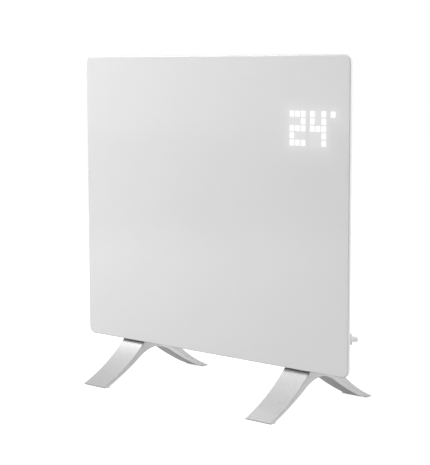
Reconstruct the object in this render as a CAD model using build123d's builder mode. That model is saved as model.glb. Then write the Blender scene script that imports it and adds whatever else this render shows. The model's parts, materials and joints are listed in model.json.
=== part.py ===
from build123d import *
import math
import os

# Wall panel convector heater standing on two splayed feet, in millimetres.
#
# A white glass panel is bonded to a steel tray that nests in a steel housing with sloped sides.
# Air enters through slots underneath, rises past a finned element and leaves through the grille
# on the sloped top. The control parts sit in a column behind the display, on the right.
#
# +X runs to the right as seen from the front, +Y to the back and +Z up. The origin is on the
# floor, midway between the feet and midway along them.

# ---------------------------------------------------------------- driving dimensions

# Glass panel
glass_width = 520.0
glass_height = 440.0
glass_thickness = 5.0
glass_corner = 11.5
glass_front_round = 2.0
glass_back_round = 0.8
glass_clearance = 62.0  # floor to the lower edge of the glass
foot_setback = 37.0  # front of the glass to the middle of the feet

# Steel body
sheet = 1.2
body_depth = 70.0  # front of the glass to the back of the housing
side_inset = 12.0  # edge of the glass to the housing, at the sides and the top
bottom_inset = 4.0
lip_depth = 9.5  # straight lip of the housing, before its walls slope
wall_slope = 0.8  # run inwards for each millimetre of depth
body_corner = 8.0
fit_gap = 0.2  # clearance between nested sheet parts
bond_thickness = 1.5
bond_width = 6.0
bond_inset = 2.0  # edge of the tray to the bond
tray_rim = 8.0

# Display of square cells
cell_pitch = 10.0
cell_size = 8.7
cell_round = 1.2
cell_rows = 5
cell_columns = 3
digit_step = 36.0  # first column of one digit to that of the next
display_inset = 100.7  # right edge of the glass to the middle of the first column
display_drop = 81.0  # top of the glass to the middle of the top row
touch_drop = 86.0  # middle of the top row down to the touch keys
grid_depth = 7.0
grid_border = 1.8
grid_ear = 10.0
diffuser_thickness = 0.5
board_thickness = 1.6
led_size = 3.5
led_height = 1.4

# Feet
foot_inset = 95.0  # side of the glass to the middle of a foot
foot_width = 46.5
foot_length = 230.0
hub_half_length = 24.5  # where the foot meets the housing
foot_tip_top = 2.4
foot_upper_sag = 6.1
arch_height = 48.0
arch_half = 38.0  # where the arch turns into the leg
arch_radius = 68.0
leg_lower_sag = 1.6
foot_land = 0.5  # floor to the land that carries the pad
foot_land_length = 10.5
foot_tip_inset = 0.8
foot_edge_round = 0.8
foot_bevel_width = 9.0
foot_bevel_depth = 2.2
foot_screw_spacing = 26.0
pad_recess = 1.0
pad_length = 7.5
pad_width = 34.0

# Fasteners
clearance = 0.1
m5_radius = 2.5
m4_radius = 2.0
m3_radius = 1.5
recess_depth = 0.9
recess_width = 0.8
m5_head = (4.4, 3.2)
m4_head = (3.8, 2.4)
m3_head = (2.8, 1.9)

# ---------------------------------------------------------------- derived places

glass_front = -foot_setback
glass_back = glass_front + glass_thickness
tray_front = glass_back + bond_thickness
tray_back = tray_front + sheet
housing_back = glass_front + body_depth
inner_back = housing_back - sheet
lip_back = tray_front + lip_depth

glass_bottom = glass_clearance
glass_top = glass_bottom + glass_height
glass_middle = (glass_bottom + glass_top) / 2
lip_half = glass_width / 2 - side_inset
lip_top = glass_top - side_inset
body_bottom = glass_bottom + bottom_inset
inner_bottom = body_bottom + sheet
wall_run = math.hypot(1, wall_slope)
foot_spacing = glass_width - 2 * foot_inset
column_inset = 72.0  # side of the housing to the middle of the control parts
column_x = lip_half - column_inset


def facing_plane(y):
    """Upright plane at depth y: its x runs right, its y runs up and it faces the front."""
    return Plane.XZ.offset(-y)


def side_plane(x):
    """Upright plane at x across the heater: its x runs back and its y runs up."""
    return Plane.YZ.offset(x)


def wall_half(y):
    """Half width over the housing's side walls at depth y."""
    return lip_half - wall_slope * max(0.0, y - lip_back)


def wall_top(y):
    """Height of the housing's top wall at depth y."""
    return lip_top - wall_slope * max(0.0, y - lip_back)


def write_piece(piece, name):
    """Label a finished piece and write it to a file of its own."""
    piece.part.label = name
    export_step(piece.part, f"parts/{name}.step")


def add_screw(head_radius, head_height, shank_radius, shank_length):
    """Cross-head screws at the current locations, whose z points out of the head."""
    Cylinder(head_radius, head_height, align=(Align.CENTER, Align.CENTER, Align.MIN))
    Cylinder(shank_radius, shank_length, align=(Align.CENTER, Align.CENTER, Align.MAX))
    with Locations((0, 0, head_height)):
        Box(head_radius, recess_width, 2 * recess_depth, mode=Mode.SUBTRACT)
        Box(recess_width, head_radius, 2 * recess_depth, mode=Mode.SUBTRACT)


def spots(points, outward):
    """Planes at the given points that face along outward."""
    return [Plane(origin=point, z_dir=outward) for point in points]


def lead_radii(points):
    """Bend radii of a lead: nearly half the shorter run at each corner."""
    corners = [Vector(*point) for point in points]
    radii = []
    for before, corner, after in zip(corners, corners[1:], corners[2:]):
        turn = math.radians((corner - before).get_angle(after - corner))
        shorter = min((corner - before).length, (after - corner).length)
        radii.append(bend_share * shorter / math.tan(turn / 2))
    return radii


def add_lead(points, radius):
    """Sweep an insulated lead along straight runs joined by tangent arcs, and give its length."""
    with BuildLine() as route:
        FilletPolyline(*points, radius=lead_radii(points))
    path = route.wire()
    with BuildSketch(Plane(origin=path @ 0, z_dir=path % 0)) as section:
        Circle(radius)
    sweep(section.sketch, path=path)
    return path.length


def print_leads(name, leads, routes, lengths, radius):
    """Print each lead's length, its length as found from its volume, and its bend radii."""
    print(name)
    for points, length in zip(routes, lengths):
        print("  length", round(length, 1), "bend radii", [round(bend, 1) for bend in lead_radii(points)])
    volume_length = leads.part.volume / (math.pi * radius**2)
    print("  all lengths", round(sum(lengths), 1), "and from the volume", round(volume_length, 1))


os.makedirs("parts", exist_ok=True)

# ---------------------------------------------------------------- glass and its bond

with BuildPart() as front_glass:
    with BuildSketch(facing_plane(glass_back)):
        with Locations((0, glass_middle)):
            RectangleRounded(glass_width, glass_height, glass_corner)
    extrude(amount=glass_thickness)
    fillet(front_glass.faces().sort_by(Axis.Y)[0].edges(), glass_front_round)
    fillet(front_glass.faces().sort_by(Axis.Y)[-1].edges(), glass_back_round)
write_piece(front_glass, "front_glass")

tray_half = lip_half - sheet - fit_gap
tray_bottom = inner_bottom + fit_gap
tray_top = lip_top - sheet - fit_gap
tray_height = tray_top - tray_bottom
tray_middle = (tray_top + tray_bottom) / 2
tray_corner = body_corner - sheet - fit_gap

with BuildPart() as bond_frame:
    with BuildSketch(facing_plane(tray_front)):
        with Locations((0, tray_middle)):
            RectangleRounded(
                2 * (tray_half - bond_inset), tray_height - 2 * bond_inset, tray_corner - bond_inset
            )
            Rectangle(
                2 * (tray_half - bond_inset - bond_width),
                tray_height - 2 * (bond_inset + bond_width),
                mode=Mode.SUBTRACT,
            )
    extrude(amount=bond_thickness)
write_piece(bond_frame, "bond_frame")

# ---------------------------------------------------------------- display places

first_column_x = glass_width / 2 - display_inset
top_row_z = glass_top - display_drop
degree_x = first_column_x + 2 * digit_step
digit_cells = [
    (first_column_x + digit * digit_step + column * cell_pitch, top_row_z - row * cell_pitch)
    for digit in range(2)
    for column in range(cell_columns)
    for row in range(cell_rows)
]
cell_centres = digit_cells + [(degree_x, top_row_z)]
cell_margin = cell_size / 2 + grid_border
grid_left = first_column_x - cell_margin
grid_right = degree_x + cell_margin
grid_low = top_row_z - (cell_rows - 1) * cell_pitch - cell_margin
grid_high = top_row_z + cell_margin
grid_width = grid_right - grid_left
grid_height = grid_high - grid_low
grid_centre = ((grid_left + grid_right) / 2, (grid_low + grid_high) / 2)
grid_front = glass_back + diffuser_thickness
grid_back = grid_front + grid_depth
display_board_back = grid_back + board_thickness
display_screw_points = [
    (x, z)
    for x in (grid_left + grid_ear, grid_right - grid_ear)
    for z in (grid_low - grid_ear / 2, grid_high + grid_ear / 2)
]

touch_spacing = 25.0
touch_count = 3
touch_z = top_row_z - touch_drop
touch_pad_radius = 6.0
touch_board_size = (82.0, 24.0)
touch_screw_margin = 4.0
touch_board_back = tray_back + board_thickness
touch_points = [
    (grid_centre[0] + (key - (touch_count - 1) / 2) * touch_spacing, touch_z)
    for key in range(touch_count)
]
touch_screw_points = [
    (grid_centre[0] + side * (touch_board_size[0] / 2 - touch_screw_margin), touch_z)
    for side in (-1, 1)
]

# ---------------------------------------------------------------- heat shield places

baffle_x = column_x - 31.0
shield_left = 36.0 - lip_half
shield_right = baffle_x - 15.0
shield_low = body_bottom + 34.0
shield_high = lip_top - 60.0
shield_sheet = 0.8
shield_screw_inset = 15.0
spacer_length = 5.8
spacer_radius = 5.0
shield_front = tray_back + spacer_length
shield_back = shield_front + shield_sheet
shield_points = [
    (x, z)
    for x in (shield_left + shield_screw_inset, shield_right - shield_screw_inset)
    for z in (shield_low + shield_screw_inset, shield_high - shield_screw_inset)
]

# ---------------------------------------------------------------- steel tray

tray_rim_back = tray_front + tray_rim
housing_screw_y = (tray_back + tray_rim_back) / 2
side_screw_z = (120.0, 278.0, 436.0)
top_screw_x = (-180.0, 0.0, 180.0)
bottom_screw_x = (-90.0, 90.0)
housing_screw_spots = (
    spots([(lip_half, housing_screw_y, z) for z in side_screw_z], (1, 0, 0))
    + spots([(-lip_half, housing_screw_y, z) for z in side_screw_z], (-1, 0, 0))
    + spots([(x, housing_screw_y, lip_top) for x in top_screw_x], (0, 0, 1))
    + spots([(x, housing_screw_y, body_bottom) for x in bottom_screw_x], (0, 0, -1))
)
housing_screw_length = 5.0

with BuildPart() as front_tray:
    with BuildSketch(facing_plane(tray_rim_back)):
        with Locations((0, tray_middle)):
            RectangleRounded(2 * tray_half, tray_height, tray_corner)
    extrude(amount=tray_rim)
    with BuildSketch(facing_plane(tray_rim_back)):
        with Locations((0, tray_middle)):
            RectangleRounded(2 * (tray_half - sheet), tray_height - 2 * sheet, tray_corner - sheet)
    extrude(amount=tray_rim - sheet, mode=Mode.SUBTRACT)
    with BuildSketch(facing_plane(tray_back)):
        with Locations(grid_centre):
            Rectangle(grid_width + 2 * fit_gap, grid_height + 2 * fit_gap)
        with Locations(*touch_points):
            Circle(touch_pad_radius + fit_gap)
        with Locations(*display_screw_points, *touch_screw_points, *shield_points):
            Circle(m3_radius + clearance)
    extrude(amount=sheet, mode=Mode.SUBTRACT)
    with Locations(*housing_screw_spots):
        Cylinder(m3_radius + clearance, 2 * housing_screw_length, mode=Mode.SUBTRACT)
write_piece(front_tray, "front_tray")

# ---------------------------------------------------------------- display

with BuildPart() as display_diffuser:
    with BuildSketch(facing_plane(grid_front)):
        with Locations(grid_centre):
            Rectangle(grid_width, grid_height)
    extrude(amount=diffuser_thickness)
write_piece(display_diffuser, "display_diffuser")

with BuildPart() as light_grid:
    with BuildSketch(facing_plane(grid_back)):
        with Locations(grid_centre):
            Rectangle(grid_width, grid_height)
    extrude(amount=grid_depth)
    with BuildSketch(facing_plane(grid_back)):
        with Locations(grid_centre):
            Rectangle(grid_width, grid_height + 2 * grid_ear)
    extrude(amount=grid_back - tray_back)
    with BuildSketch(facing_plane(grid_back)):
        with Locations(*cell_centres):
            RectangleRounded(cell_size, cell_size, cell_round)
        with Locations(*display_screw_points):
            Circle(m3_radius + clearance)
    extrude(amount=grid_depth, mode=Mode.SUBTRACT)
write_piece(light_grid, "light_grid")

with BuildPart() as led_board:
    with BuildSketch(facing_plane(display_board_back)):
        with Locations(grid_centre):
            Rectangle(grid_width, grid_height + 2 * grid_ear)
        with Locations(*display_screw_points):
            Circle(m3_radius + clearance, mode=Mode.SUBTRACT)
    extrude(amount=board_thickness)
write_piece(led_board, "led_board")

with BuildPart() as display_leds:
    with BuildSketch(facing_plane(grid_back)):
        with Locations(*cell_centres):
            Rectangle(led_size, led_size)
    extrude(amount=led_height)
write_piece(display_leds, "display_leds")

display_screw_length = display_board_back - tray_back + sheet / 2
touch_screw_length = board_thickness + sheet / 2

with BuildPart() as display_screws:
    with Locations(*spots([(x, display_board_back, z) for x, z in display_screw_points], (0, 1, 0))):
        add_screw(*m3_head, m3_radius, display_screw_length)
    with Locations(*spots([(x, touch_board_back, z) for x, z in touch_screw_points], (0, 1, 0))):
        add_screw(*m3_head, m3_radius, touch_screw_length)
write_piece(display_screws, "display_screws")

with BuildPart() as touch_pads:
    with BuildSketch(facing_plane(tray_back)):
        with Locations(*touch_points):
            Circle(touch_pad_radius)
    extrude(amount=tray_back - glass_back)
write_piece(touch_pads, "touch_pads")

with BuildPart() as touch_board:
    with BuildSketch(facing_plane(touch_board_back)):
        with Locations((grid_centre[0], touch_z)):
            Rectangle(*touch_board_size)
        with Locations(*touch_screw_points):
            Circle(m3_radius + clearance, mode=Mode.SUBTRACT)
    extrude(amount=board_thickness)
write_piece(touch_board, "touch_board")

# ---------------------------------------------------------------- heat shield

with BuildPart() as heat_shield:
    with BuildSketch(facing_plane(shield_back)):
        with Locations(((shield_left + shield_right) / 2, (shield_low + shield_high) / 2)):
            Rectangle(shield_right - shield_left, shield_high - shield_low)
        with Locations(*shield_points):
            Circle(m3_radius + clearance, mode=Mode.SUBTRACT)
    extrude(amount=shield_sheet)
write_piece(heat_shield, "heat_shield")

with BuildPart() as shield_spacers:
    with BuildSketch(facing_plane(shield_front)):
        with Locations(*shield_points):
            Circle(spacer_radius)
            Circle(m3_radius + clearance, mode=Mode.SUBTRACT)
    extrude(amount=spacer_length)
write_piece(shield_spacers, "shield_spacers")

with BuildPart() as shield_screws:
    with Locations(*spots([(x, shield_back, z) for x, z in shield_points], (0, 1, 0))):
        add_screw(*m3_head, m3_radius, shield_back - tray_back + sheet / 2)
write_piece(shield_screws, "shield_screws")

# ---------------------------------------------------------------- places in the body

element_y = 4.0
element_z = 160.0
element_left = 60.0 - lip_half
element_right = baffle_x - 41.0
element_mid = (element_left + element_right) / 2
bracket_gap = 8.0  # end of the finned body to a bracket
bracket_left = element_left - bracket_gap  # inner faces of the two bracket plates
bracket_right = element_right + bracket_gap
bracket_flange = 15.0
bracket_height = 60.0
bracket_front = -12.0
bracket_screw_rise = 22.0

baffle_front = lip_back - 1.0
baffle_flange = 12.0
baffle_low_screw = body_bottom + 30.0
baffle_high_screw = lip_top - 65.0
edge_gap = 1.0
bend_share = 0.45  # bend of a lead against the shorter run beside it
mains_lead_radius = 1.3
signal_lead_radius = 0.9

box_width = 48.0
box_left = column_x - box_width / 2
box_right = column_x + box_width / 2
box_low = 215.0
box_high = 315.0
box_depth = 24.8
box_wall = 1.8
box_front = inner_back - box_depth
box_centre = ((box_left + box_right) / 2, (box_low + box_high) / 2)

block_centre = (column_x - 3.0, 158.0)
block_size = (32.0, 16.0, 14.0)
block_ways = 3
way_pitch = 10.0
way_radius = 2.2

switch_centre = (column_x, 100.0)
earth_point = (column_x + 16.0, 132.0)

cutout_point = (element_mid + 2.0, 235.0)
cutout_hole_half = 11.5

tilt_centre_x = column_x - 2.0
tilt_plate_low = 318.0
tilt_plate_high = 395.0
tilt_plate_width = 34.0

upper_slot_z = 421.0
lower_slot_z = 98.0
slot_length = 30.0
slot_width = 4.5
slot_pitch = 12.0
slot_row_left = element_left + 8.0
upper_row_right = baffle_x - 25.0
lower_row_right = baffle_x - 49.0

wall_fixing_inset = 140.0  # side of the glass to a wall fixing
wall_fixing_x = glass_width / 2 - wall_fixing_inset
wall_fixing_low = 205.0
wall_fixing_high = 380.0
insert_radius = 3.5
insert_flange_radius = 5.0
insert_flange = 0.8
insert_length = 11.0
insert_bore = 2.1
wall_fixing_points = [
    (x, z) for x in (-wall_fixing_x, wall_fixing_x) for z in (wall_fixing_low, wall_fixing_high)
]

left_flange_x = bracket_left + bracket_flange / 2
right_flange_x = bracket_right - bracket_flange / 2
bracket_screw_points = [
    (x, element_z + rise)
    for x in (left_flange_x, right_flange_x)
    for rise in (-bracket_screw_rise, bracket_screw_rise)
]
baffle_screw_points = [
    (baffle_x - baffle_flange / 2, z) for z in (baffle_low_screw, baffle_high_screw)
]
box_screw_points = [(box_centre[0], box_low + 30), (box_centre[0], box_high - 30)]
block_screw_points = [(block_centre[0] + side * way_pitch / 2, block_centre[1]) for side in (-1, 1)]
tilt_screw_points = [
    (tilt_centre_x + side * (tilt_plate_width / 2 - 5), tilt_plate_high - 5) for side in (-1, 1)
]
cutout_screw_points = [
    (cutout_point[0] + side * cutout_hole_half, cutout_point[1]) for side in (-1, 1)
]
back_screw_points = (
    bracket_screw_points
    + baffle_screw_points
    + box_screw_points
    + block_screw_points
    + tilt_screw_points
    + cutout_screw_points
)
back_screw_length = 2 * sheet

# ---------------------------------------------------------------- rear housing

grille_width = 2 * lip_half - 116.0
grille_height = 42.0
grille_sheet = 1.0
grille_flange = 6.0
grille_slot_pitch = 12.0
grille_slot_count = int(grille_width / grille_slot_pitch)
grille_slot_width = 7.5
grille_slot_length = 34.0
grille_y = (lip_back + housing_back) / 2
grille_plane = Plane(
    origin=(0, grille_y, wall_top(grille_y)), x_dir=(1, 0, 0), z_dir=(0, wall_slope, 1)
)

gland_y = 0.0
gland_z = 108.5
gland_plane = Plane(
    origin=(wall_half(gland_y), gland_y, gland_z), x_dir=(0, 0, 1), z_dir=(1, wall_slope, 0)
)
gland_shank_radius = 6.0

inlet_rows = 4
inlet_length = 44.0
inlet_width = 5.0
inlet_pitch = (52.0, 11.0)
inlet_columns = int((foot_spacing - foot_width) / inlet_pitch[0])
inlet_y = 5.0

switch_hole = (13.2, 19.2)


def outer_section(y):
    """Outline of the housing at depth y, to be drawn in a facing plane."""
    with BuildSketch(facing_plane(y)) as outline:
        with Locations((0, (wall_top(y) + body_bottom) / 2)):
            RectangleRounded(2 * wall_half(y), wall_top(y) - body_bottom, body_corner)
    return outline.sketch


def inner_section(y, wall):
    """Outline of the hollow at depth y, inside walls that measure wall across the section."""
    top = wall_top(y) - wall
    with BuildSketch(facing_plane(y)) as outline:
        with Locations((0, (top + inner_bottom) / 2)):
            RectangleRounded(2 * (wall_half(y) - wall), top - inner_bottom, body_corner - sheet)
    return outline.sketch


with BuildPart() as rear_housing:
    extrude(outer_section(lip_back), amount=lip_depth)
    loft([outer_section(lip_back), outer_section(housing_back)])
    extrude(inner_section(lip_back, sheet), amount=lip_depth, mode=Mode.SUBTRACT)
    loft(
        [inner_section(lip_back, sheet), inner_section(inner_back, sheet * wall_run)],
        mode=Mode.SUBTRACT,
    )
    with BuildSketch(grille_plane):
        Rectangle(grille_width, grille_height)
    extrude(amount=2 * sheet, both=True, mode=Mode.SUBTRACT)
    with BuildSketch(Plane.XY.offset(body_bottom)):
        with Locations((0, inlet_y)):
            with GridLocations(*inlet_pitch, inlet_columns, inlet_rows):
                SlotOverall(inlet_length, inlet_width)
        with Locations(
            *[
                (side * foot_spacing / 2, end * foot_screw_spacing / 2)
                for side in (-1, 1)
                for end in (-1, 1)
            ]
        ):
            Circle(m5_radius + clearance)
    extrude(amount=2 * sheet, both=True, mode=Mode.SUBTRACT)
    with BuildSketch(facing_plane(housing_back)):
        for row_right, row_z in ((upper_row_right, upper_slot_z), (lower_row_right, lower_slot_z)):
            slot_count = 1 + int((row_right - slot_row_left) / slot_pitch)
            with Locations(((slot_row_left + row_right) / 2, row_z)):
                with GridLocations(slot_pitch, slot_pitch, slot_count, 1):
                    SlotOverall(slot_length, slot_width, rotation=90)
        with Locations(*wall_fixing_points):
            Circle(insert_radius + clearance)
        with Locations(*back_screw_points):
            Circle(m3_radius + clearance)
        with Locations(earth_point):
            Circle(m4_radius + clearance)
        with Locations(switch_centre):
            Rectangle(*switch_hole)
    extrude(amount=2 * sheet, both=True, mode=Mode.SUBTRACT)
    with Locations(gland_plane):
        Cylinder(gland_shank_radius + clearance, 4 * sheet, mode=Mode.SUBTRACT)
    with Locations(*housing_screw_spots):
        Cylinder(m3_radius + clearance, 3 * sheet, mode=Mode.SUBTRACT)
write_piece(rear_housing, "rear_housing")

with BuildPart() as outlet_grille:
    with BuildSketch(grille_plane):
        RectangleRounded(
            grille_width + 2 * grille_flange, grille_height + 2 * grille_flange, grille_flange
        )
    extrude(amount=grille_sheet)
    with BuildSketch(grille_plane):
        Rectangle(grille_width - 2 * fit_gap, grille_height - 2 * fit_gap)
    extrude(amount=-sheet)
    with BuildSketch(grille_plane):
        with GridLocations(grille_slot_pitch, grille_slot_pitch, grille_slot_count, 1):
            SlotOverall(grille_slot_length, grille_slot_width, rotation=90)
    extrude(amount=2 * sheet, both=True, mode=Mode.SUBTRACT)
write_piece(outlet_grille, "outlet_grille")

with BuildPart() as housing_screws:
    with Locations(*housing_screw_spots):
        add_screw(*m3_head, m3_radius, housing_screw_length)
write_piece(housing_screws, "housing_screws")

with BuildPart() as back_screws:
    with Locations(*spots([(x, housing_back, z) for x, z in back_screw_points], (0, 1, 0))):
        add_screw(*m3_head, m3_radius, back_screw_length)
write_piece(back_screws, "back_screws")

with BuildPart() as wall_inserts:
    with Locations(*spots([(x, housing_back, z) for x, z in wall_fixing_points], (0, 1, 0))):
        Cylinder(insert_flange_radius, insert_flange, align=(Align.CENTER, Align.CENTER, Align.MIN))
        Cylinder(insert_radius, insert_length, align=(Align.CENTER, Align.CENTER, Align.MAX))
        Cylinder(insert_bore, 2 * (insert_length + 1), mode=Mode.SUBTRACT)
write_piece(wall_inserts, "wall_inserts")

# ---------------------------------------------------------------- cord gland

gland_washer_radius = 10.0
gland_washer = 1.6
gland_flange_radius = 8.4
gland_flange = 4.5
gland_nose = 7.7
gland_nose_base = 4.6
gland_nose_tip = 3.7
gland_bore = 2.8
gland_shank_length = 11.0
gland_nut_across = 17.0
gland_nut = 4.0
gland_edge_round = 0.8

with BuildPart() as gland_washer_ring:
    with BuildSketch(gland_plane):
        Circle(gland_washer_radius)
        Circle(gland_shank_radius + clearance, mode=Mode.SUBTRACT)
    extrude(amount=gland_washer)
write_piece(gland_washer_ring, "gland_washer")

with BuildPart() as cord_gland:
    with BuildSketch(gland_plane.offset(gland_washer)):
        Circle(gland_flange_radius)
    extrude(amount=gland_flange)
    fillet(cord_gland.edges().group_by(Axis(gland_plane.origin, gland_plane.z_dir))[-1], gland_edge_round)
    with Locations(gland_plane.offset(gland_washer + gland_flange)):
        Cone(
            gland_nose_base, gland_nose_tip, gland_nose, align=(Align.CENTER, Align.CENTER, Align.MIN)
        )
    with BuildSketch(gland_plane.offset(gland_washer)):
        Circle(gland_shank_radius)
    extrude(amount=-gland_shank_length)
    with Locations(gland_plane):
        Cylinder(gland_bore, 4 * gland_shank_length, mode=Mode.SUBTRACT)
write_piece(cord_gland, "cord_gland")

with BuildPart() as gland_nut_ring:
    with BuildSketch(gland_plane.offset(-sheet)):
        RegularPolygon(gland_nut_across / 2, 6, major_radius=False)
        Circle(gland_shank_radius + clearance, mode=Mode.SUBTRACT)
    extrude(amount=-gland_nut)
write_piece(gland_nut_ring, "gland_nut")

# ---------------------------------------------------------------- feet

foot_half = foot_length / 2
tip_front = foot_half - foot_tip_inset
land_inner = tip_front - foot_land_length
arch_drop = arch_radius - math.sqrt(arch_radius**2 - arch_half**2)
arch_end = (arch_half, arch_height - arch_drop)
hub_web = 4.0  # metal left under the screw heads
hub_screw_seat = arch_height + hub_web
hub_counterbore = 5.2
pad_chamfer = 0.4
pad_middle = (land_inner + tip_front) / 2
pad_thickness = foot_land + pad_recess
leg_chord = math.dist((land_inner, foot_land), arch_end)
leg_radius = leg_chord**2 / (8 * leg_lower_sag) + leg_lower_sag / 2
leg_arc = math.degrees(2 * math.asin(leg_chord / (2 * leg_radius)))
arch_arc = math.degrees(2 * math.asin(arch_half / arch_radius))
centre_share = (leg_radius - leg_lower_sag) / leg_chord
leg_centre = (
    (land_inner + arch_end[0]) / 2 + (arch_end[1] - foot_land) * centre_share,
    (foot_land + arch_end[1]) / 2 + (land_inner - arch_end[0]) * centre_share,
)
arch_centre = (0, arch_height - arch_radius)
bevel_overrun = 0.4  # degrees past the end of the arch, so that the bevels join


def radial_plane(centre_x, centre, point):
    """Plane through an arc's centre: its x runs across the foot, its y out to the point."""
    outward = Vector(0, point[0] - centre[0], point[1] - centre[1])
    return Plane(origin=(centre_x, *centre), x_dir=(1, 0, 0), z_dir=Vector(1, 0, 0).cross(outward))


def bevel_corners(side, radius, inward):
    """Section to cut along an arc, deepening towards one side of the foot."""
    half = foot_width / 2
    return [
        (side * (half - foot_bevel_width), radius),
        (side * half, radius + inward * foot_bevel_depth),
        (side * (half + 1), radius + inward * foot_bevel_depth),
        (side * (half + 1), radius - inward),
        (side * (half - foot_bevel_width), radius - inward),
    ]


def make_foot(centre_x):
    """One arched foot: a hub with two legs that flare out to the floor."""
    with BuildPart() as foot:
        with BuildSketch(side_plane(centre_x)):
            with BuildLine():
                Line((0, body_bottom), (hub_half_length, body_bottom))
                SagittaArc((hub_half_length, body_bottom), (foot_half, foot_tip_top), -foot_upper_sag)
                Line((foot_half, foot_tip_top), (tip_front, foot_land))
                Line((tip_front, foot_land), (land_inner, foot_land))
                SagittaArc((land_inner, foot_land), arch_end, leg_lower_sag)
                RadiusArc(arch_end, (0, arch_height), -arch_radius)
                Line((0, arch_height), (0, body_bottom))
            make_face()
            mirror(about=Plane.YZ)
        extrude(amount=foot_width / 2, both=True)
        upper_faces = foot.faces().sort_by(SortBy.AREA)[-2:]
        fillet(upper_faces.edges().filter_by(GeomType.CIRCLE), foot_edge_round)
        with BuildSketch(radial_plane(centre_x, arch_centre, arch_end)):
            for side in (-1, 1):
                Polygon(*bevel_corners(side, arch_radius, 1), align=None)
        revolve(
            axis=Axis((centre_x, *arch_centre), (1, 0, 0)),
            revolution_arc=arch_arc,
            mode=Mode.SUBTRACT,
        )
        for end in (-1, 1):
            centre = (end * leg_centre[0], leg_centre[1])
            with BuildSketch(radial_plane(centre_x, centre, (end * land_inner, foot_land))):
                for side in (-1, 1):
                    Polygon(*bevel_corners(side, leg_radius, -1), align=None)
            revolve(
                axis=Axis((centre_x, *centre), (-end, 0, 0)),
                revolution_arc=leg_arc + bevel_overrun,
                mode=Mode.SUBTRACT,
            )
        with BuildSketch(Plane.XY.offset(foot_land)):
            for end in (-1, 1):
                with Locations((centre_x, end * pad_middle)):
                    Rectangle(pad_width + 2 * clearance, pad_length + 2 * clearance)
        extrude(amount=pad_recess, mode=Mode.SUBTRACT)
        for end in (-1, 1):
            with Locations((centre_x, end * foot_screw_spacing / 2, hub_screw_seat)):
                Cylinder(
                    hub_counterbore,
                    hub_screw_seat,
                    align=(Align.CENTER, Align.CENTER, Align.MAX),
                    mode=Mode.SUBTRACT,
                )
                Cylinder(m5_radius + clearance, 2 * hub_screw_seat, mode=Mode.SUBTRACT)
    return foot


for side, centre_x in (("left", -foot_spacing / 2), ("right", foot_spacing / 2)):
    write_piece(make_foot(centre_x), f"foot_{side}")

with BuildPart() as foot_pads:
    with BuildSketch(Plane.XY):
        with GridLocations(foot_spacing, 2 * pad_middle, 2, 2):
            Rectangle(pad_width, pad_length)
    extrude(amount=pad_thickness)
    chamfer(foot_pads.faces().filter_by(lambda face: face.center().Z < clearance).edges(), pad_chamfer)
write_piece(foot_pads, "foot_pads")

nut_plate_width = 34.0
nut_plate_length = 40.0
nut_plate_thickness = 4.0

with BuildPart() as foot_screws:
    with Locations(Plane(origin=(0, 0, hub_screw_seat), z_dir=(0, 0, -1))):
        with GridLocations(foot_spacing, foot_screw_spacing, 2, 2):
            add_screw(*m5_head, m5_radius, inner_bottom + nut_plate_thickness - hub_screw_seat)
write_piece(foot_screws, "foot_screws")

with BuildPart() as foot_nut_plates:
    with BuildSketch(Plane.XY.offset(inner_bottom)):
        with GridLocations(foot_spacing, foot_spacing, 2, 1):
            Rectangle(nut_plate_width, nut_plate_length)
        with GridLocations(foot_spacing, foot_screw_spacing, 2, 2):
            Circle(m5_radius + clearance, mode=Mode.SUBTRACT)
    extrude(amount=nut_plate_thickness)
write_piece(foot_nut_plates, "foot_nut_plates")

# ---------------------------------------------------------------- heating element

core_radius = 8.0
arm_length = 34.0
arm_thickness = 2.6
arm_angle = 54.0  # from the depth direction
fin_gap = 2.4
fin_pitch = 9.0
rod_radius = 4.0
rod_reach = 8.0  # past each bracket
pin_radius = 1.5
pin_length = 7.0
bush_radius = 7.0
bush_collar_radius = 10.0
bush_collar = 3.0
element_length = element_right - element_left
fin_count = int(element_length / fin_pitch) - 1
rod_left = bracket_left - sheet - rod_reach
rod_right = bracket_right + sheet + rod_reach


def element_plane(x):
    """Plane across the element at x, centred on its axis."""
    return Plane(origin=(x, element_y, element_z), x_dir=(0, 1, 0), z_dir=(1, 0, 0))


with BuildPart() as heater_fins:
    with BuildSketch(element_plane(element_left)):
        Circle(core_radius)
        for angle in (arm_angle, 180 - arm_angle, 180 + arm_angle, -arm_angle):
            Rectangle(
                arm_length, arm_thickness, rotation=angle, align=(Align.MIN, Align.CENTER)
            )
    extrude(amount=element_length)
    with Locations(element_plane(element_mid)):
        with Locations(
            *[(0, 0, (fin - (fin_count - 1) / 2) * fin_pitch) for fin in range(fin_count)]
        ):
            Box(3 * arm_length, 3 * arm_length, fin_gap, mode=Mode.SUBTRACT)
    with BuildSketch(element_plane(element_left)):
        Circle(core_radius)
    extrude(amount=element_length)
    with BuildSketch(element_plane(element_left)):
        Circle(rod_radius + clearance)
    extrude(amount=element_length, mode=Mode.SUBTRACT)
write_piece(heater_fins, "heater_fins")

with BuildPart() as heater_rod:
    with BuildSketch(element_plane(rod_left)):
        Circle(rod_radius)
    extrude(amount=rod_right - rod_left)
    with BuildSketch(element_plane(rod_left - pin_length)):
        Circle(pin_radius)
    extrude(amount=rod_right - rod_left + 2 * pin_length)
write_piece(heater_rod, "heater_rod")


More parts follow.
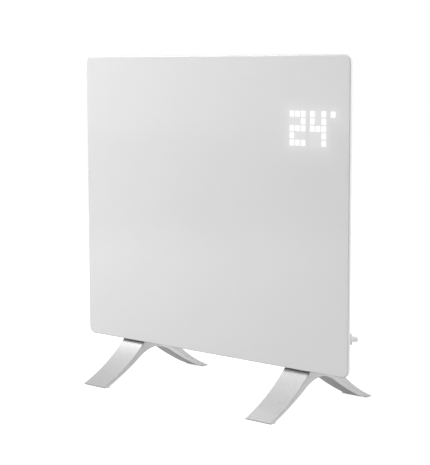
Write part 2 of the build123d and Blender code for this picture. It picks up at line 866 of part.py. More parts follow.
def make_bracket(inner_x, outward):
    """Sheet bracket: a plate across the element and a flange on the back wall."""
    flange_x = inner_x - outward * bracket_flange / 2
    bracket_depth = inner_back - bracket_front
    with BuildPart() as bracket:
        with BuildSketch(element_plane(inner_x)):
            with Locations(((inner_back + bracket_front) / 2 - element_y, 0)):
                Rectangle(bracket_depth, bracket_height)
            Circle(bush_radius + clearance, mode=Mode.SUBTRACT)
        extrude(amount=outward * sheet)
        with BuildSketch(facing_plane(inner_back)):
            with Locations((flange_x, element_z)):
                Rectangle(bracket_flange, bracket_height)
            with Locations(
                (flange_x, element_z - bracket_screw_rise), (flange_x, element_z + bracket_screw_rise)
            ):
                Circle(m3_radius + clearance, mode=Mode.SUBTRACT)
        extrude(amount=sheet)
    return bracket


write_piece(make_bracket(bracket_left, -1), "element_bracket_left")
write_piece(make_bracket(bracket_right, 1), "element_bracket_right")

with BuildPart() as ceramic_bushes:
    for inner_x, outward in ((bracket_left, -1), (bracket_right, 1)):
        outer_x = inner_x + outward * sheet
        with BuildSketch(element_plane(outer_x)):
            Circle(bush_collar_radius)
            Circle(rod_radius + clearance, mode=Mode.SUBTRACT)
        extrude(amount=outward * bush_collar)
        with BuildSketch(element_plane(outer_x)):
            Circle(bush_radius)
            Circle(rod_radius + clearance, mode=Mode.SUBTRACT)
        extrude(amount=-outward * (sheet + bush_collar))
write_piece(ceramic_bushes, "ceramic_bushes")

cutout_strap = (32.0, 12.0)
cutout_disc_radius = 8.0
cutout_disc = 9.0
cutout_tab = (3.0, 4.0)
cutout_tab_reach = 9.0
cutout_tab_inset = 2.0
cutout_tab_y = inner_back - sheet - cutout_disc + cutout_tab_inset

with BuildPart() as thermal_cutout:
    with BuildSketch(facing_plane(inner_back)):
        with Locations(cutout_point):
            Rectangle(*cutout_strap)
        with Locations(*cutout_screw_points):
            Circle(m3_radius + clearance, mode=Mode.SUBTRACT)
    extrude(amount=sheet)
    with BuildSketch(facing_plane(inner_back - sheet)):
        with Locations(cutout_point):
            Circle(cutout_disc_radius)
    extrude(amount=cutout_disc)
    with BuildSketch(side_plane(cutout_point[0])):
        with Locations((cutout_tab_y, cutout_point[1])):
            Rectangle(*cutout_tab)
    extrude(amount=cutout_disc_radius + cutout_tab_reach, both=True)
write_piece(thermal_cutout, "thermal_cutout")

# ---------------------------------------------------------------- air baffle and grommets

grommet_radius = 6.0
grommet_lip = 8.0
grommet_bore = 2.6
low_pass = (element_y, element_z)
high_pass = (14.0, 228.0)
passes = (low_pass, high_pass)
baffle_middle_top = wall_top(lip_back) - sheet - edge_gap
baffle_back_top = wall_top(inner_back) - sheet * wall_run - edge_gap

with BuildPart() as air_baffle:
    with BuildSketch(side_plane(baffle_x)):
        Polygon(
            (baffle_front, inner_bottom),
            (inner_back, inner_bottom),
            (inner_back, baffle_back_top),
            (lip_back, baffle_middle_top),
            (baffle_front, baffle_middle_top),
            align=None,
        )
        with Locations(*passes):
            Circle(grommet_radius, mode=Mode.SUBTRACT)
    extrude(amount=sheet)
    flange_low = baffle_low_screw - baffle_flange / 2
    flange_high = baffle_high_screw + baffle_flange / 2
    with BuildSketch(facing_plane(inner_back)):
        with Locations((baffle_x - baffle_flange / 2, (flange_low + flange_high) / 2)):
            Rectangle(baffle_flange, flange_high - flange_low)
        with Locations(*baffle_screw_points):
            Circle(m3_radius + clearance, mode=Mode.SUBTRACT)
    extrude(amount=sheet)
write_piece(air_baffle, "air_baffle")

with BuildPart() as grommets:
    with BuildSketch(side_plane(baffle_x - sheet)):
        with Locations(*passes):
            Circle(grommet_lip)
    extrude(amount=3 * sheet)
    with BuildSketch(side_plane(baffle_x)):
        with Locations(*passes):
            Circle(grommet_lip)
            Circle(grommet_radius, mode=Mode.SUBTRACT)
    extrude(amount=sheet, mode=Mode.SUBTRACT)
    with BuildSketch(side_plane(baffle_x - sheet)):
        with Locations(*passes):
            Circle(grommet_bore)
    extrude(amount=3 * sheet, mode=Mode.SUBTRACT)
write_piece(grommets, "grommets")

# ---------------------------------------------------------------- control box

board_gap = 3.0
board_boss = 5.0
boss_radius = 3.2
lid_thickness = 1.8
lid_slot = (40.0, 2.5)
lid_slot_pitch = 6.0
lid_slot_count = 5
board_front = inner_back - box_wall - board_boss - board_thickness
board_width = box_right - box_left - 2 * (box_wall + board_gap / 2)
board_height = box_high - box_low - 2 * (box_wall + board_gap / 2)
boss_inset = 4.0
boss_points = [
    (
        box_centre[0] + across * (board_width / 2 - boss_inset),
        box_centre[1] + rise * (board_height / 2 - boss_inset),
    )
    for across in (-1, 1)
    for rise in (-1, 1)
]
lead_entry_radius = 2.0
bottom_entries = [(column_x - 8.0, 18.0), (column_x, 20.0), (column_x + 8.0, 16.0)]
top_entries = [(column_x + 11.0, 18.0), (tilt_centre_x, 20.0)]
left_entry = high_pass
right_entry = (20.0, 268.0)
board_tail = 9.0  # box wall to the place where a lead meets the board

with BuildPart() as control_box:
    with BuildSketch(facing_plane(inner_back)):
        with Locations(box_centre):
            Rectangle(box_right - box_left, box_high - box_low)
    extrude(amount=box_depth)
    with BuildSketch(facing_plane(inner_back - box_wall)):
        with Locations(box_centre):
            Rectangle(box_right - box_left - 2 * box_wall, box_high - box_low - 2 * box_wall)
    extrude(amount=box_depth, mode=Mode.SUBTRACT)
    with BuildSketch(facing_plane(inner_back - box_wall)):
        with Locations(*boss_points):
            Circle(boss_radius)
    extrude(amount=board_boss)
    with BuildSketch(facing_plane(inner_back)):
        with Locations(*box_screw_points):
            Circle(m3_radius + clearance)
    extrude(amount=2 * box_wall, mode=Mode.SUBTRACT)
    with BuildSketch(facing_plane(board_front + board_thickness)):
        with Locations(*boss_points):
            Circle(m3_radius + clearance)
    extrude(amount=-board_boss + sheet, mode=Mode.SUBTRACT)
    for height, entries in ((box_low, bottom_entries), (box_high, top_entries)):
        with BuildSketch(Plane.XY.offset(height)):
            with Locations(*entries):
                Circle(lead_entry_radius)
        extrude(amount=2 * box_wall, both=True, mode=Mode.SUBTRACT)
    for wall_x, entry in ((box_left, left_entry), (box_right, right_entry)):
        with BuildSketch(side_plane(wall_x)):
            with Locations(entry):
                Circle(lead_entry_radius)
        extrude(amount=2 * box_wall, both=True, mode=Mode.SUBTRACT)
write_piece(control_box, "control_box")

with BuildPart() as control_lid:
    with BuildSketch(facing_plane(box_front)):
        with Locations(box_centre):
            RectangleRounded(box_right - box_left, box_high - box_low, lid_thickness)
            with GridLocations(lid_slot_pitch, lid_slot_pitch, lid_slot_count, 1):
                SlotOverall(*lid_slot, rotation=90, mode=Mode.SUBTRACT)
    extrude(amount=lid_thickness)
    with BuildSketch(facing_plane(box_front + lid_thickness)):
        with Locations(box_centre):
            Rectangle(
                box_right - box_left - 2 * (box_wall + fit_gap),
                box_high - box_low - 2 * (box_wall + fit_gap),
            )
            Rectangle(
                box_right - box_left - 2 * (2 * box_wall + fit_gap),
                box_high - box_low - 2 * (2 * box_wall + fit_gap),
                mode=Mode.SUBTRACT,
            )
    extrude(amount=lid_thickness)
write_piece(control_lid, "control_lid")

with BuildPart() as power_board:
    with BuildSketch(facing_plane(board_front + board_thickness)):
        with Locations(box_centre):
            Rectangle(board_width, board_height)
        with Locations(*boss_points):
            Circle(m3_radius + clearance, mode=Mode.SUBTRACT)
    extrude(amount=board_thickness)
write_piece(power_board, "power_board")

board_screw_length = board_thickness + board_boss - sheet - box_wall

with BuildPart() as board_screws:
    with Locations(*spots([(x, board_front, z) for x, z in boss_points], (0, -1, 0))):
        add_screw(*m3_head, m3_radius, board_screw_length)
write_piece(board_screws, "board_screws")

transformer_size = (20.0, 22.0, 12.0)
transformer_offset = (-8.0, 22.0)  # offsets run from the middle of the board
relay_size = (19.0, 15.0, 13.0)
relay_offset = (-8.0, -24.0)
wifi_size = (14.0, 22.0, 2.6)
wifi_offset = (10.0, 24.0)
capacitor_radius = 5.0
capacitor_height = 11.0
capacitor_offsets = [(13.0, -20.0), (13.0, -6.0)]
part_edge = 0.8


def board_place(offset):
    """Place on the power board that lies an offset from its middle."""
    return (box_centre[0] + offset[0], box_centre[1] + offset[1])


def make_block(offset, size):
    """Block part on the front of the power board."""
    with BuildPart() as block:
        with BuildSketch(facing_plane(board_front)):
            with Locations(board_place(offset)):
                Rectangle(size[0], size[1])
        extrude(amount=size[2])
        chamfer(block.faces().sort_by(Axis.Y)[0].edges(), part_edge)
    return block


write_piece(make_block(transformer_offset, transformer_size), "transformer")
write_piece(make_block(relay_offset, relay_size), "relay")
write_piece(make_block(wifi_offset, wifi_size), "wifi_module")

with BuildPart() as capacitors:
    with BuildSketch(facing_plane(board_front)):
        with Locations(*[board_place(offset) for offset in capacitor_offsets]):
            Circle(capacitor_radius)
    extrude(amount=capacitor_height)
    for front in capacitors.faces().filter_by(lambda face: face.center().Y < board_front - 1):
        if front.geom_type == GeomType.PLANE:
            fillet(front.edges(), part_edge)
write_piece(capacitors, "capacitors")

# ---------------------------------------------------------------- terminals and earth

way_points = [
    (block_centre[0] + (way - (block_ways - 1) / 2) * way_pitch, block_centre[1])
    for way in range(block_ways)
]
block_front = inner_back - block_size[2]
way_y = block_front + block_size[2] / 2
clamp_radius = 1.8
clamp_length = 4.4

with BuildPart() as terminal_block:
    with BuildSketch(facing_plane(inner_back)):
        with Locations(block_centre):
            Rectangle(block_size[0], block_size[1])
    extrude(amount=block_size[2])
    with Locations(*[(x, way_y, z) for x, z in way_points]):
        Cylinder(way_radius, 2 * block_size[1], mode=Mode.SUBTRACT)
    with BuildSketch(facing_plane(block_front)):
        with Locations(*way_points):
            Circle(clamp_radius + clearance)
    extrude(amount=-block_size[2] / 2, mode=Mode.SUBTRACT)
    with BuildSketch(facing_plane(inner_back)):
        with Locations(*block_screw_points):
            Circle(m3_radius + clearance)
    extrude(amount=3 * sheet, mode=Mode.SUBTRACT)
write_piece(terminal_block, "terminal_block")

with BuildPart() as terminal_screws:
    with Locations(*spots([(x, block_front + sheet, z) for x, z in way_points], (0, -1, 0))):
        Cylinder(clamp_radius, clamp_length, align=(Align.CENTER, Align.CENTER, Align.MAX))
        Box(2 * clamp_radius, recess_width, recess_depth, mode=Mode.SUBTRACT)
write_piece(terminal_screws, "terminal_screws")

earth_reach = 10.0
nut_across = 7.0
nut_height = 3.2
lug_radius = 4.0
lug_sheet = 0.8
lug_length = 9.5
lug_barrel_radius = 1.8
lug_barrel_length = 4.5
lug_top = earth_point[1] + lug_length
lug_barrel_y = inner_back - lug_barrel_radius - clearance

with BuildPart() as earth_screw:
    with Locations(*spots([(earth_point[0], housing_back, earth_point[1])], (0, 1, 0))):
        add_screw(*m4_head, m4_radius, earth_reach)
write_piece(earth_screw, "earth_screw")

with BuildPart() as earth_lug:
    with BuildSketch(facing_plane(inner_back)):
        with Locations(earth_point):
            Circle(lug_radius)
        with Locations((earth_point[0], earth_point[1] + lug_length / 2)):
            Rectangle(2 * lug_barrel_radius, lug_length)
        with Locations(earth_point):
            Circle(m4_radius + clearance, mode=Mode.SUBTRACT)
    extrude(amount=lug_sheet)
    with BuildSketch(Plane.XY.offset(lug_top)):
        with Locations((earth_point[0], lug_barrel_y)):
            Circle(lug_barrel_radius)
    extrude(amount=-lug_barrel_length)
write_piece(earth_lug, "earth_lug")

with BuildPart() as earth_nut:
    with BuildSketch(facing_plane(inner_back - lug_sheet)):
        with Locations(earth_point):
            RegularPolygon(nut_across / 2, 6, major_radius=False)
            Circle(m4_radius + clearance, mode=Mode.SUBTRACT)
    extrude(amount=nut_height)
write_piece(earth_nut, "earth_nut")

# ---------------------------------------------------------------- mains switch

switch_bezel = (15.0, 21.0, 2.0)
switch_body_size = (12.8, 18.8, 18.0)
switch_well = (9.8, 14.4, 8.6)
rocker_width = 9.2
rocker_half = 6.0
rocker_tilt = 8.0
rocker_rise = 3.6  # outer face above the pivot
rocker_root = 3.0
rocker_crown = 0.7
rocker_pin_radius = 1.2
rocker_pin_half = 6.0
switch_pivot_inset = 1.0
switch_pivot_y = housing_back - switch_pivot_inset
bezel_round = 1.6
blade_size = (0.8, 4.8)
blade_length = 8.0
blade_step = 6.0
switch_x, switch_z = switch_centre
switch_inner_y = housing_back - switch_body_size[2]
rocker_plane = Plane(
    origin=(switch_x, switch_pivot_y, switch_z),
    x_dir=(0, math.cos(math.radians(rocker_tilt)), math.sin(math.radians(rocker_tilt))),
    z_dir=(1, 0, 0),
)

with BuildPart() as switch_body:
    with BuildSketch(facing_plane(housing_back)):
        with Locations(switch_centre):
            Rectangle(switch_body_size[0], switch_body_size[1])
    extrude(amount=switch_body_size[2])
    with BuildSketch(facing_plane(housing_back + switch_bezel[2])):
        with Locations(switch_centre):
            RectangleRounded(switch_bezel[0], switch_bezel[1], bezel_round)
    extrude(amount=switch_bezel[2])
    with BuildSketch(facing_plane(housing_back + switch_bezel[2])):
        with Locations(switch_centre):
            Rectangle(switch_well[0], switch_well[1])
    extrude(amount=switch_well[2], mode=Mode.SUBTRACT)
    with Locations(Location((switch_x, switch_pivot_y, switch_z), (0, 90, 0))):
        Cylinder(rocker_pin_radius + clearance / 2, 2 * rocker_pin_half + clearance, mode=Mode.SUBTRACT)
write_piece(switch_body, "switch_body")

with BuildPart() as switch_rocker:
    with BuildSketch(rocker_plane):
        with BuildLine():
            Polyline(
                (rocker_rise, rocker_half),
                (-rocker_root / 2, rocker_half),
                (-rocker_root, rocker_half / 2),
                (-rocker_root, -rocker_half / 2),
                (-rocker_root / 2, -rocker_half),
                (rocker_rise, -rocker_half),
            )
            SagittaArc((rocker_rise, -rocker_half), (rocker_rise, rocker_half), -rocker_crown)
        make_face()
    extrude(amount=rocker_width / 2, both=True)
    with Locations(Location((switch_x, switch_pivot_y, switch_z), (0, 90, 0))):
        Cylinder(rocker_pin_radius, 2 * rocker_pin_half - clearance)
write_piece(switch_rocker, "switch_rocker")

with BuildPart() as switch_blades:
    with BuildSketch(facing_plane(switch_inner_y)):
        with Locations(switch_centre):
            with GridLocations(blade_step, blade_step, 1, 2):
                Rectangle(blade_size[1], blade_size[0])
    extrude(amount=blade_length)
write_piece(switch_blades, "switch_blades")

# ---------------------------------------------------------------- tip-over switch

tilt_pivot_y = 15.0
tilt_pivot_z = 375.0
tilt_ear_half = 13.0
tilt_ear_height = 22.0
tilt_pin_radius = 1.5
tilt_hub_radius = 4.0
tilt_hub_half = 9.0
tilt_rod_radius = 1.4
bob_radius = 6.5
bob_half = 6.5
bob_drop = 27.0
flag_size = (1.0, 7.0, 9.0)
gate_arm = (3.4, 9.0)
gate_slot = 5.0
gate_base_top = 330.0
gate_base_low = 322.0
gate_arm_top = 338.5
gate_leg_width = 8.0


def tilt_side_plane(x):
    """Plane across the tip-over switch's pivot axis at x, centred on that axis."""
    return Plane(origin=(x, tilt_pivot_y, tilt_pivot_z), x_dir=(0, 1, 0), z_dir=(1, 0, 0))


with BuildPart() as tilt_bracket:
    with BuildSketch(facing_plane(inner_back)):
        with Locations((tilt_centre_x, (tilt_plate_low + tilt_plate_high) / 2)):
            Rectangle(tilt_plate_width, tilt_plate_high - tilt_plate_low)
        with Locations(*tilt_screw_points):
            Circle(m3_radius + clearance, mode=Mode.SUBTRACT)
    extrude(amount=sheet)
    ear_reach = inner_back - tilt_pivot_y
    ear_radius = 0.3 * tilt_ear_height
    for side in (-1, 1):
        with BuildSketch(tilt_side_plane(tilt_centre_x + side * tilt_ear_half)):
            with Locations((ear_reach / 2, 0)):
                Rectangle(ear_reach, 2 * ear_radius)
            Circle(ear_radius)
            Circle(tilt_pin_radius + clearance / 2, mode=Mode.SUBTRACT)
        extrude(amount=side * sheet)
write_piece(tilt_bracket, "tilt_bracket")

with BuildPart() as tilt_pin:
    with BuildSketch(tilt_side_plane(tilt_centre_x)):
        Circle(tilt_pin_radius)
    extrude(amount=tilt_ear_half + 2 * sheet, both=True)
write_piece(tilt_pin, "tilt_pin")

with BuildPart() as tilt_pendulum:
    with BuildSketch(tilt_side_plane(tilt_centre_x)):
        Circle(tilt_hub_radius)
    extrude(amount=tilt_hub_half, both=True)
    with BuildSketch(Plane.XY.offset(tilt_pivot_z - bob_drop)):
        with Locations((tilt_centre_x, tilt_pivot_y)):
            Circle(tilt_rod_radius)
    extrude(amount=bob_drop)
    with BuildSketch(tilt_side_plane(tilt_centre_x)):
        with Locations((0, -bob_drop)):
            Circle(bob_radius)
    extrude(amount=bob_half, both=True)
    with Locations((tilt_centre_x, tilt_pivot_y, tilt_pivot_z - bob_drop - bob_radius + 1)):
        Box(*flag_size, align=(Align.CENTER, Align.CENTER, Align.MAX))
    with BuildSketch(tilt_side_plane(tilt_centre_x)):
        Circle(tilt_pin_radius + clearance / 2)
    extrude(amount=2 * tilt_hub_half, both=True, mode=Mode.SUBTRACT)
write_piece(tilt_pendulum, "tilt_pendulum")

gate_half = gate_slot / 2 + gate_arm[0]

with BuildPart() as tilt_light_gate:
    with BuildSketch(Plane.XY.offset(gate_base_low)):
        with Locations((tilt_centre_x, tilt_pivot_y)):
            Rectangle(2 * gate_half, gate_arm[1])
    extrude(amount=gate_arm_top - gate_base_low)
    with BuildSketch(Plane.XY.offset(gate_base_top)):
        with Locations((tilt_centre_x, tilt_pivot_y)):
            Rectangle(gate_slot, gate_arm[1])
    extrude(amount=gate_arm_top - gate_base_top, mode=Mode.SUBTRACT)
    with BuildSketch(Plane.XY.offset(gate_base_low)):
        leg_length = inner_back - sheet - tilt_pivot_y
        with Locations((tilt_centre_x, tilt_pivot_y + leg_length / 2)):
            Rectangle(gate_leg_width, leg_length)
    extrude(amount=gate_base_top - gate_base_low)
write_piece(tilt_light_gate, "tilt_light_gate")

# ---------------------------------------------------------------- room temperature sensor

clip_centre = (column_x + 31.0, 1.0)
clip_size = (12.0, 9.0, 10.0)
sensor_radius = 2.0
sensor_length = 18.0
sensor_rise = 6.0
sensor_z = inner_bottom + sensor_rise

with BuildPart() as sensor_clip:
    with Locations((clip_centre[0], clip_centre[1], inner_bottom)):
        Box(*clip_size, align=(Align.CENTER, Align.CENTER, Align.MIN))
    with Locations(Location((clip_centre[0], clip_centre[1], sensor_z), (0, 90, 0))):
        Cylinder(sensor_radius + clearance, 2 * clip_size[0], mode=Mode.SUBTRACT)
write_piece(sensor_clip, "sensor_clip")

with BuildPart() as room_sensor:
    with Locations(Location((clip_centre[0], clip_centre[1], sensor_z), (0, 90, 0))):
        Cylinder(sensor_radius, sensor_length)
write_piece(room_sensor, "room_sensor")

# ---------------------------------------------------------------- internal leads

pin_left_end = rod_left - pin_length
pin_right_end = rod_right + pin_length
tab_left_end = cutout_point[0] - cutout_disc_radius - cutout_tab_reach
tab_right_end = cutout_point[0] + cutout_disc_radius + cutout_tab_reach
blade_end_y = switch_inner_y - blade_length
upper_blade_z = switch_z + blade_step / 2
lower_blade_z = switch_z - blade_step / 2
way_end_z = block_centre[1] + way_radius
neutral_way, live_way, earth_way = (x for x, _ in way_points)
(hot_x, hot_y), (neutral_x, neutral_y), (switched_x, switched_y) = bottom_entries
(display_x, display_y), (gate_x, gate_y) = top_entries
bottom_meet_z = box_low + board_tail + 2
top_meet_z = box_high - board_tail - 2
left_meet_x = box_left + board_tail + 1
right_meet_x = box_right - board_tail - 1
display_lead_x = column_x + 34
touch_lead_x = column_x + 24
sensor_lead_x = column_x + 46
display_lead_y = -6.0
touch_lead_y = -12.0
touch_lead_z = touch_z + 8
live_lead_y = -4.0
switched_lead_y = -8.0

# The points of each lead's route, from end to end
element_routes = [
    [
        (pin_left_end, element_y, element_z),
        (pin_left_end - 8.5, element_y, element_z),
        (pin_left_end - 8.5, element_y, element_z + 36),
        (pin_left_end + 12, cutout_tab_y, cutout_point[1]),
        (tab_left_end, cutout_tab_y, cutout_point[1]),
    ],
    [
        (tab_right_end, cutout_tab_y, cutout_point[1]),
        (baffle_x - 40, cutout_tab_y, cutout_point[1]),
        (baffle_x - 15, high_pass[0], high_pass[1]),
        (left_meet_x, high_pass[0], high_pass[1]),
        (left_meet_x, board_front, high_pass[1]),
    ],
    [
        (pin_right_end, element_y, element_z),
        (hot_x, element_y, element_z),
        (hot_x, hot_y, box_low - 22),
        (hot_x, hot_y, bottom_meet_z),
        (hot_x, board_front, bottom_meet_z),
    ],
]
mains_routes = [
    [
        (neutral_way, way_y, way_end_z),
        (neutral_way, way_y, block_centre[1] + 30),
        (neutral_x, neutral_y, box_low - 15),
        (neutral_x, neutral_y, bottom_meet_z),
        (neutral_x, board_front, bottom_meet_z),
    ],
    [
        (live_way, way_y, way_end_z),
        (live_way, way_y, block_centre[1] + 18),
        (live_way, way_y - 16, block_centre[1] + 18),
        (switch_x, live_lead_y, switch_z + 40),
        (switch_x, live_lead_y, upper_blade_z),
        (switch_x, blade_end_y, upper_blade_z),
    ],
    [
        (switch_x, blade_end_y, lower_blade_z),
        (switch_x, switched_lead_y, lower_blade_z),
        (switch_x + 14, switched_lead_y, switch_z + 10),
        (switched_x, switched_y, box_low - 20),
        (switched_x, switched_y, bottom_meet_z + 2),
        (switched_x, board_front, bottom_meet_z + 2),
    ],
    [
        (earth_way, way_y, way_end_z),
        (earth_way, way_y, block_centre[1] + 20),
        (earth_way + 14, way_y + 1, block_centre[1] + 20),
        (earth_point[0], lug_barrel_y, lug_top + 14),
        (earth_point[0], lug_barrel_y, lug_top),
    ],
]
signal_routes = [
    [
        (display_lead_x, display_board_back, grid_low - 2),
        (display_lead_x, display_lead_y, grid_low - 2),
        (display_lead_x - 6, 4.0, box_high + 35),
        (display_x, display_y, box_high + 13),
        (display_x, display_y, top_meet_z),
        (display_x, board_front, top_meet_z),
    ],
    [
        (touch_lead_x, touch_board_back, touch_lead_z),
        (touch_lead_x, touch_lead_y, touch_lead_z),
        (touch_lead_x, touch_lead_y, grid_low - 6),
        (touch_lead_x, display_board_back, grid_low - 6),
    ],
    [
        (gate_x, gate_y, gate_base_low),
        (gate_x, gate_y, top_meet_z + 2),
        (gate_x, board_front, top_meet_z + 2),
    ],
    [
        (clip_centre[0] + sensor_length / 2, clip_centre[1], sensor_z),
        (sensor_lead_x, clip_centre[1], sensor_z),
        (sensor_lead_x, clip_centre[1], sensor_z + 13),
        (sensor_lead_x - 14, 12.0, sensor_z + 31),
        (sensor_lead_x - 16, right_entry[0], right_entry[1]),
        (right_meet_x, right_entry[0], right_entry[1]),
        (right_meet_x, board_front, right_entry[1]),
    ],
]

with BuildPart() as element_leads:
    element_lengths = [add_lead(points, mains_lead_radius) for points in element_routes]
write_piece(element_leads, "element_leads")
print_leads("element_leads", element_leads, element_routes, element_lengths, mains_lead_radius)

with BuildPart() as mains_leads:
    mains_lengths = [add_lead(points, mains_lead_radius) for points in mains_routes]
write_piece(mains_leads, "mains_leads")
print_leads("mains_leads", mains_leads, mains_routes, mains_lengths, mains_lead_radius)

with BuildPart() as signal_leads:
    signal_lengths = [add_lead(points, signal_lead_radius) for points in signal_routes]
write_piece(signal_leads, "signal_leads")
print_leads("signal_leads", signal_leads, signal_routes, signal_lengths, signal_lead_radius)
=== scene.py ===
"""Looks of a wall panel convector heater: white coated glass on a powder coated steel casing,
two arched cast feet and a lit temperature readout of square cells."""

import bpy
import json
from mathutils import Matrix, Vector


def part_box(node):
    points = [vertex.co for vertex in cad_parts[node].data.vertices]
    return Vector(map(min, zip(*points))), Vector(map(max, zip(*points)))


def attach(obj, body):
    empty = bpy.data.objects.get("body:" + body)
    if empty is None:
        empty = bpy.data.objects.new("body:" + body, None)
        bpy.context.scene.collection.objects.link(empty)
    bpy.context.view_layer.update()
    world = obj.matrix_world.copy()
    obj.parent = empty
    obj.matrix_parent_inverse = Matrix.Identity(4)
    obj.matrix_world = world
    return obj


bl_info = {
    "name": "Panel convector heater",
    "version": (1, 0, 0),
    "blender": (4, 5, 0),
    "location": "View3D > Sidebar > Heater",
    "description": "Finishes, small surface details and a plain studio for the heater",
    "category": "Object",
}

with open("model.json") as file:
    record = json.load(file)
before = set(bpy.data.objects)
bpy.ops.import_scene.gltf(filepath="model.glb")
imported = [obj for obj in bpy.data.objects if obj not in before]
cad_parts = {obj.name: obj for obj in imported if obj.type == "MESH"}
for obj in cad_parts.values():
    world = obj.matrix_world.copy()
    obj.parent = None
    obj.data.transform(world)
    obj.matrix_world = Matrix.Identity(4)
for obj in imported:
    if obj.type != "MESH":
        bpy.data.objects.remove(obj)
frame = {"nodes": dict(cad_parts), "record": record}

import json
import math

import bpy
import numpy as np
from bpy.props import FloatProperty, FloatVectorProperty, PointerProperty
from mathutils import Matrix, Vector

BODY = "heater_body"
NODES = frame["nodes"]
SLOTS = {part["node"]: part["material_slot"] for part in frame["record"]["subparts"]}
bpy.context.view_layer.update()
WHITE = (1.0, 1.0, 1.0)
MICRON = 0.000001  # the depths of bumps are counted in it

# Readout: two digits and a degree mark. A pattern has one bit for each cell, row by row from the
# top left, which is one where the cell is lit.
LIGHT_SIZE = 0.0035  # side of one light behind a cell
DIGIT_COLUMNS, DIGIT_ROWS = 3, 5
TWO = sum(1 << bit for bit in (0, 1, 2, 5, 6, 7, 8, 9, 12, 13, 14))
FOUR = sum(1 << bit for bit in (0, 2, 3, 5, 6, 7, 8, 11, 14))
READOUT = (
    (DIGIT_COLUMNS, DIGIT_ROWS, TWO),
    (DIGIT_COLUMNS, DIGIT_ROWS, FOUR),
    (1, 1, 1),  # the degree mark is one cell
)

# Marks on the rocker, in metres: a bar for on over its middle and a ring for off under it
MARK_RISE = 0.0032  # from the rocker's middle to a mark's middle
BAR_HALF_WIDTH, BAR_HALF_HEIGHT = 0.00035, 0.0013
RING_RADIUS, RING_HALF_WIDTH = 0.00115, 0.0003
MARK_DEPTH = 0.0025  # how deep the print reaches in from the rocker's outermost point

# Thread ridge: places across it in pitches, each with its share of the thread's depth
RIDGE = ((-0.36, 0.0), (-0.08, 1.0), (0.08, 1.0), (0.36, 0.0))
RIDGE_SINK = 0.00002  # how deep the ridge's foot lies in the wall
RIDGE_FADE = 1.5  # angle over which the ridge grows out of a point at its ends
TURN_POINTS = 28

# Studio, in metres unless it says otherwise
FLOOR_HALF, FLOOR_POINTS = 6.0, 25
FLOOR_SHADE = 0.50  # colour of the lifted floor, which keeps the object's shadow
FLOOR_REFLECTED, FLOOR_SEEN = 0.45, 0.89  # light of the lifted floor in reflections and in view
LAMP_AIM = Vector((0.0, 0.0, 0.28))
FILM_WIDTH = 36.0  # millimetres
VIEW_START, VIEW_END = 0.05, 50.0


# ------------------------------------------------------------------ sizes and colours


class HeaterFinish(bpy.types.PropertyGroup):
    """Colours and surface sizes of the heater's own finishes."""

    glass: FloatVectorProperty(
        name="Glass",
        description="Colour of the coating seen through the front of the glass",
        subtype="COLOR",
        size=3,
        default=(0.795, 0.795, 0.798),
    )
    # Painted light: the glass's edges are coloured lighter as the light that the glass carries to
    # them
    glass_edge_light: FloatVectorProperty(
        name="Glass edge",
        description="Colour of the ground edge of the glass, which gathers light",
        subtype="COLOR",
        size=3,
        default=(0.93, 0.935, 0.935),
    )
    # Painted shade: the lower edge of the glass is coloured darker as the shade under the glass
    glass_lower_shade: FloatVectorProperty(
        name="Glass lower edge",
        description="Colour of the ground lower edge of the glass",
        subtype="COLOR",
        size=3,
        default=(0.40, 0.40, 0.402),
    )
    steel: FloatVectorProperty(
        name="Casing",
        description="Colour of the powder coat on the casing",
        subtype="COLOR",
        size=3,
        default=(0.795, 0.795, 0.798),
    )
    feet: FloatVectorProperty(
        name="Feet",
        description="Colour of the blasted and lacquered aluminium",
        subtype="COLOR",
        size=3,
        default=(0.595, 0.595, 0.60),
    )
    # Painted shade: the underside of the feet is coloured darker as the shade beneath them
    feet_underside_shade: FloatVectorProperty(
        name="Feet underneath",
        description="Colour of the underside of the feet, which is left as cast",
        subtype="COLOR",
        size=3,
        default=(0.42, 0.42, 0.425),
    )
    # Painted highlight: the bevels under the feet are coloured lighter as the light they catch
    feet_bevel_highlight: FloatVectorProperty(
        name="Feet bevels",
        description="Colour of the bevels along the underside of the feet",
        subtype="COLOR",
        size=3,
        default=(0.90, 0.90, 0.905),
    )
    # Painted shade: the rounded upper edges of the feet are coloured darker to damp their
    # highlight
    feet_fold_shade: FloatVectorProperty(
        name="Feet folds",
        description="Colour of the rounded upper edges of the feet",
        subtype="COLOR",
        size=3,
        default=(0.42, 0.42, 0.425),
    )
    grain: FloatProperty(
        name="Powder grain",
        description="Size of one grain of the powder coat",
        unit="LENGTH",
        default=0.0007,
    )
    light: FloatProperty(
        name="Readout",
        description="Strength of the lit cells of the readout",
        default=0.30,
        min=0.0,
    )
    glow: FloatProperty(
        name="Glow",
        description="Strength of the glow round the digits",
        default=0.09,
        min=0.0,
    )


class HeaterDetails(bpy.types.PropertyGroup):
    """Sizes of the small parts that are made here."""

    thread_pitch: FloatProperty(
        name="Thread pitch",
        description="Pitch of the thread in the wall inserts",
        unit="LENGTH",
        default=0.0008,
    )
    thread_depth: FloatProperty(
        name="Thread depth",
        description="How far the thread stands in from the bore",
        unit="LENGTH",
        default=0.0003,
    )
    bore: FloatProperty(
        name="Insert bore",
        description="Radius of the bore of a wall insert",
        unit="LENGTH",
        default=0.0021,
    )


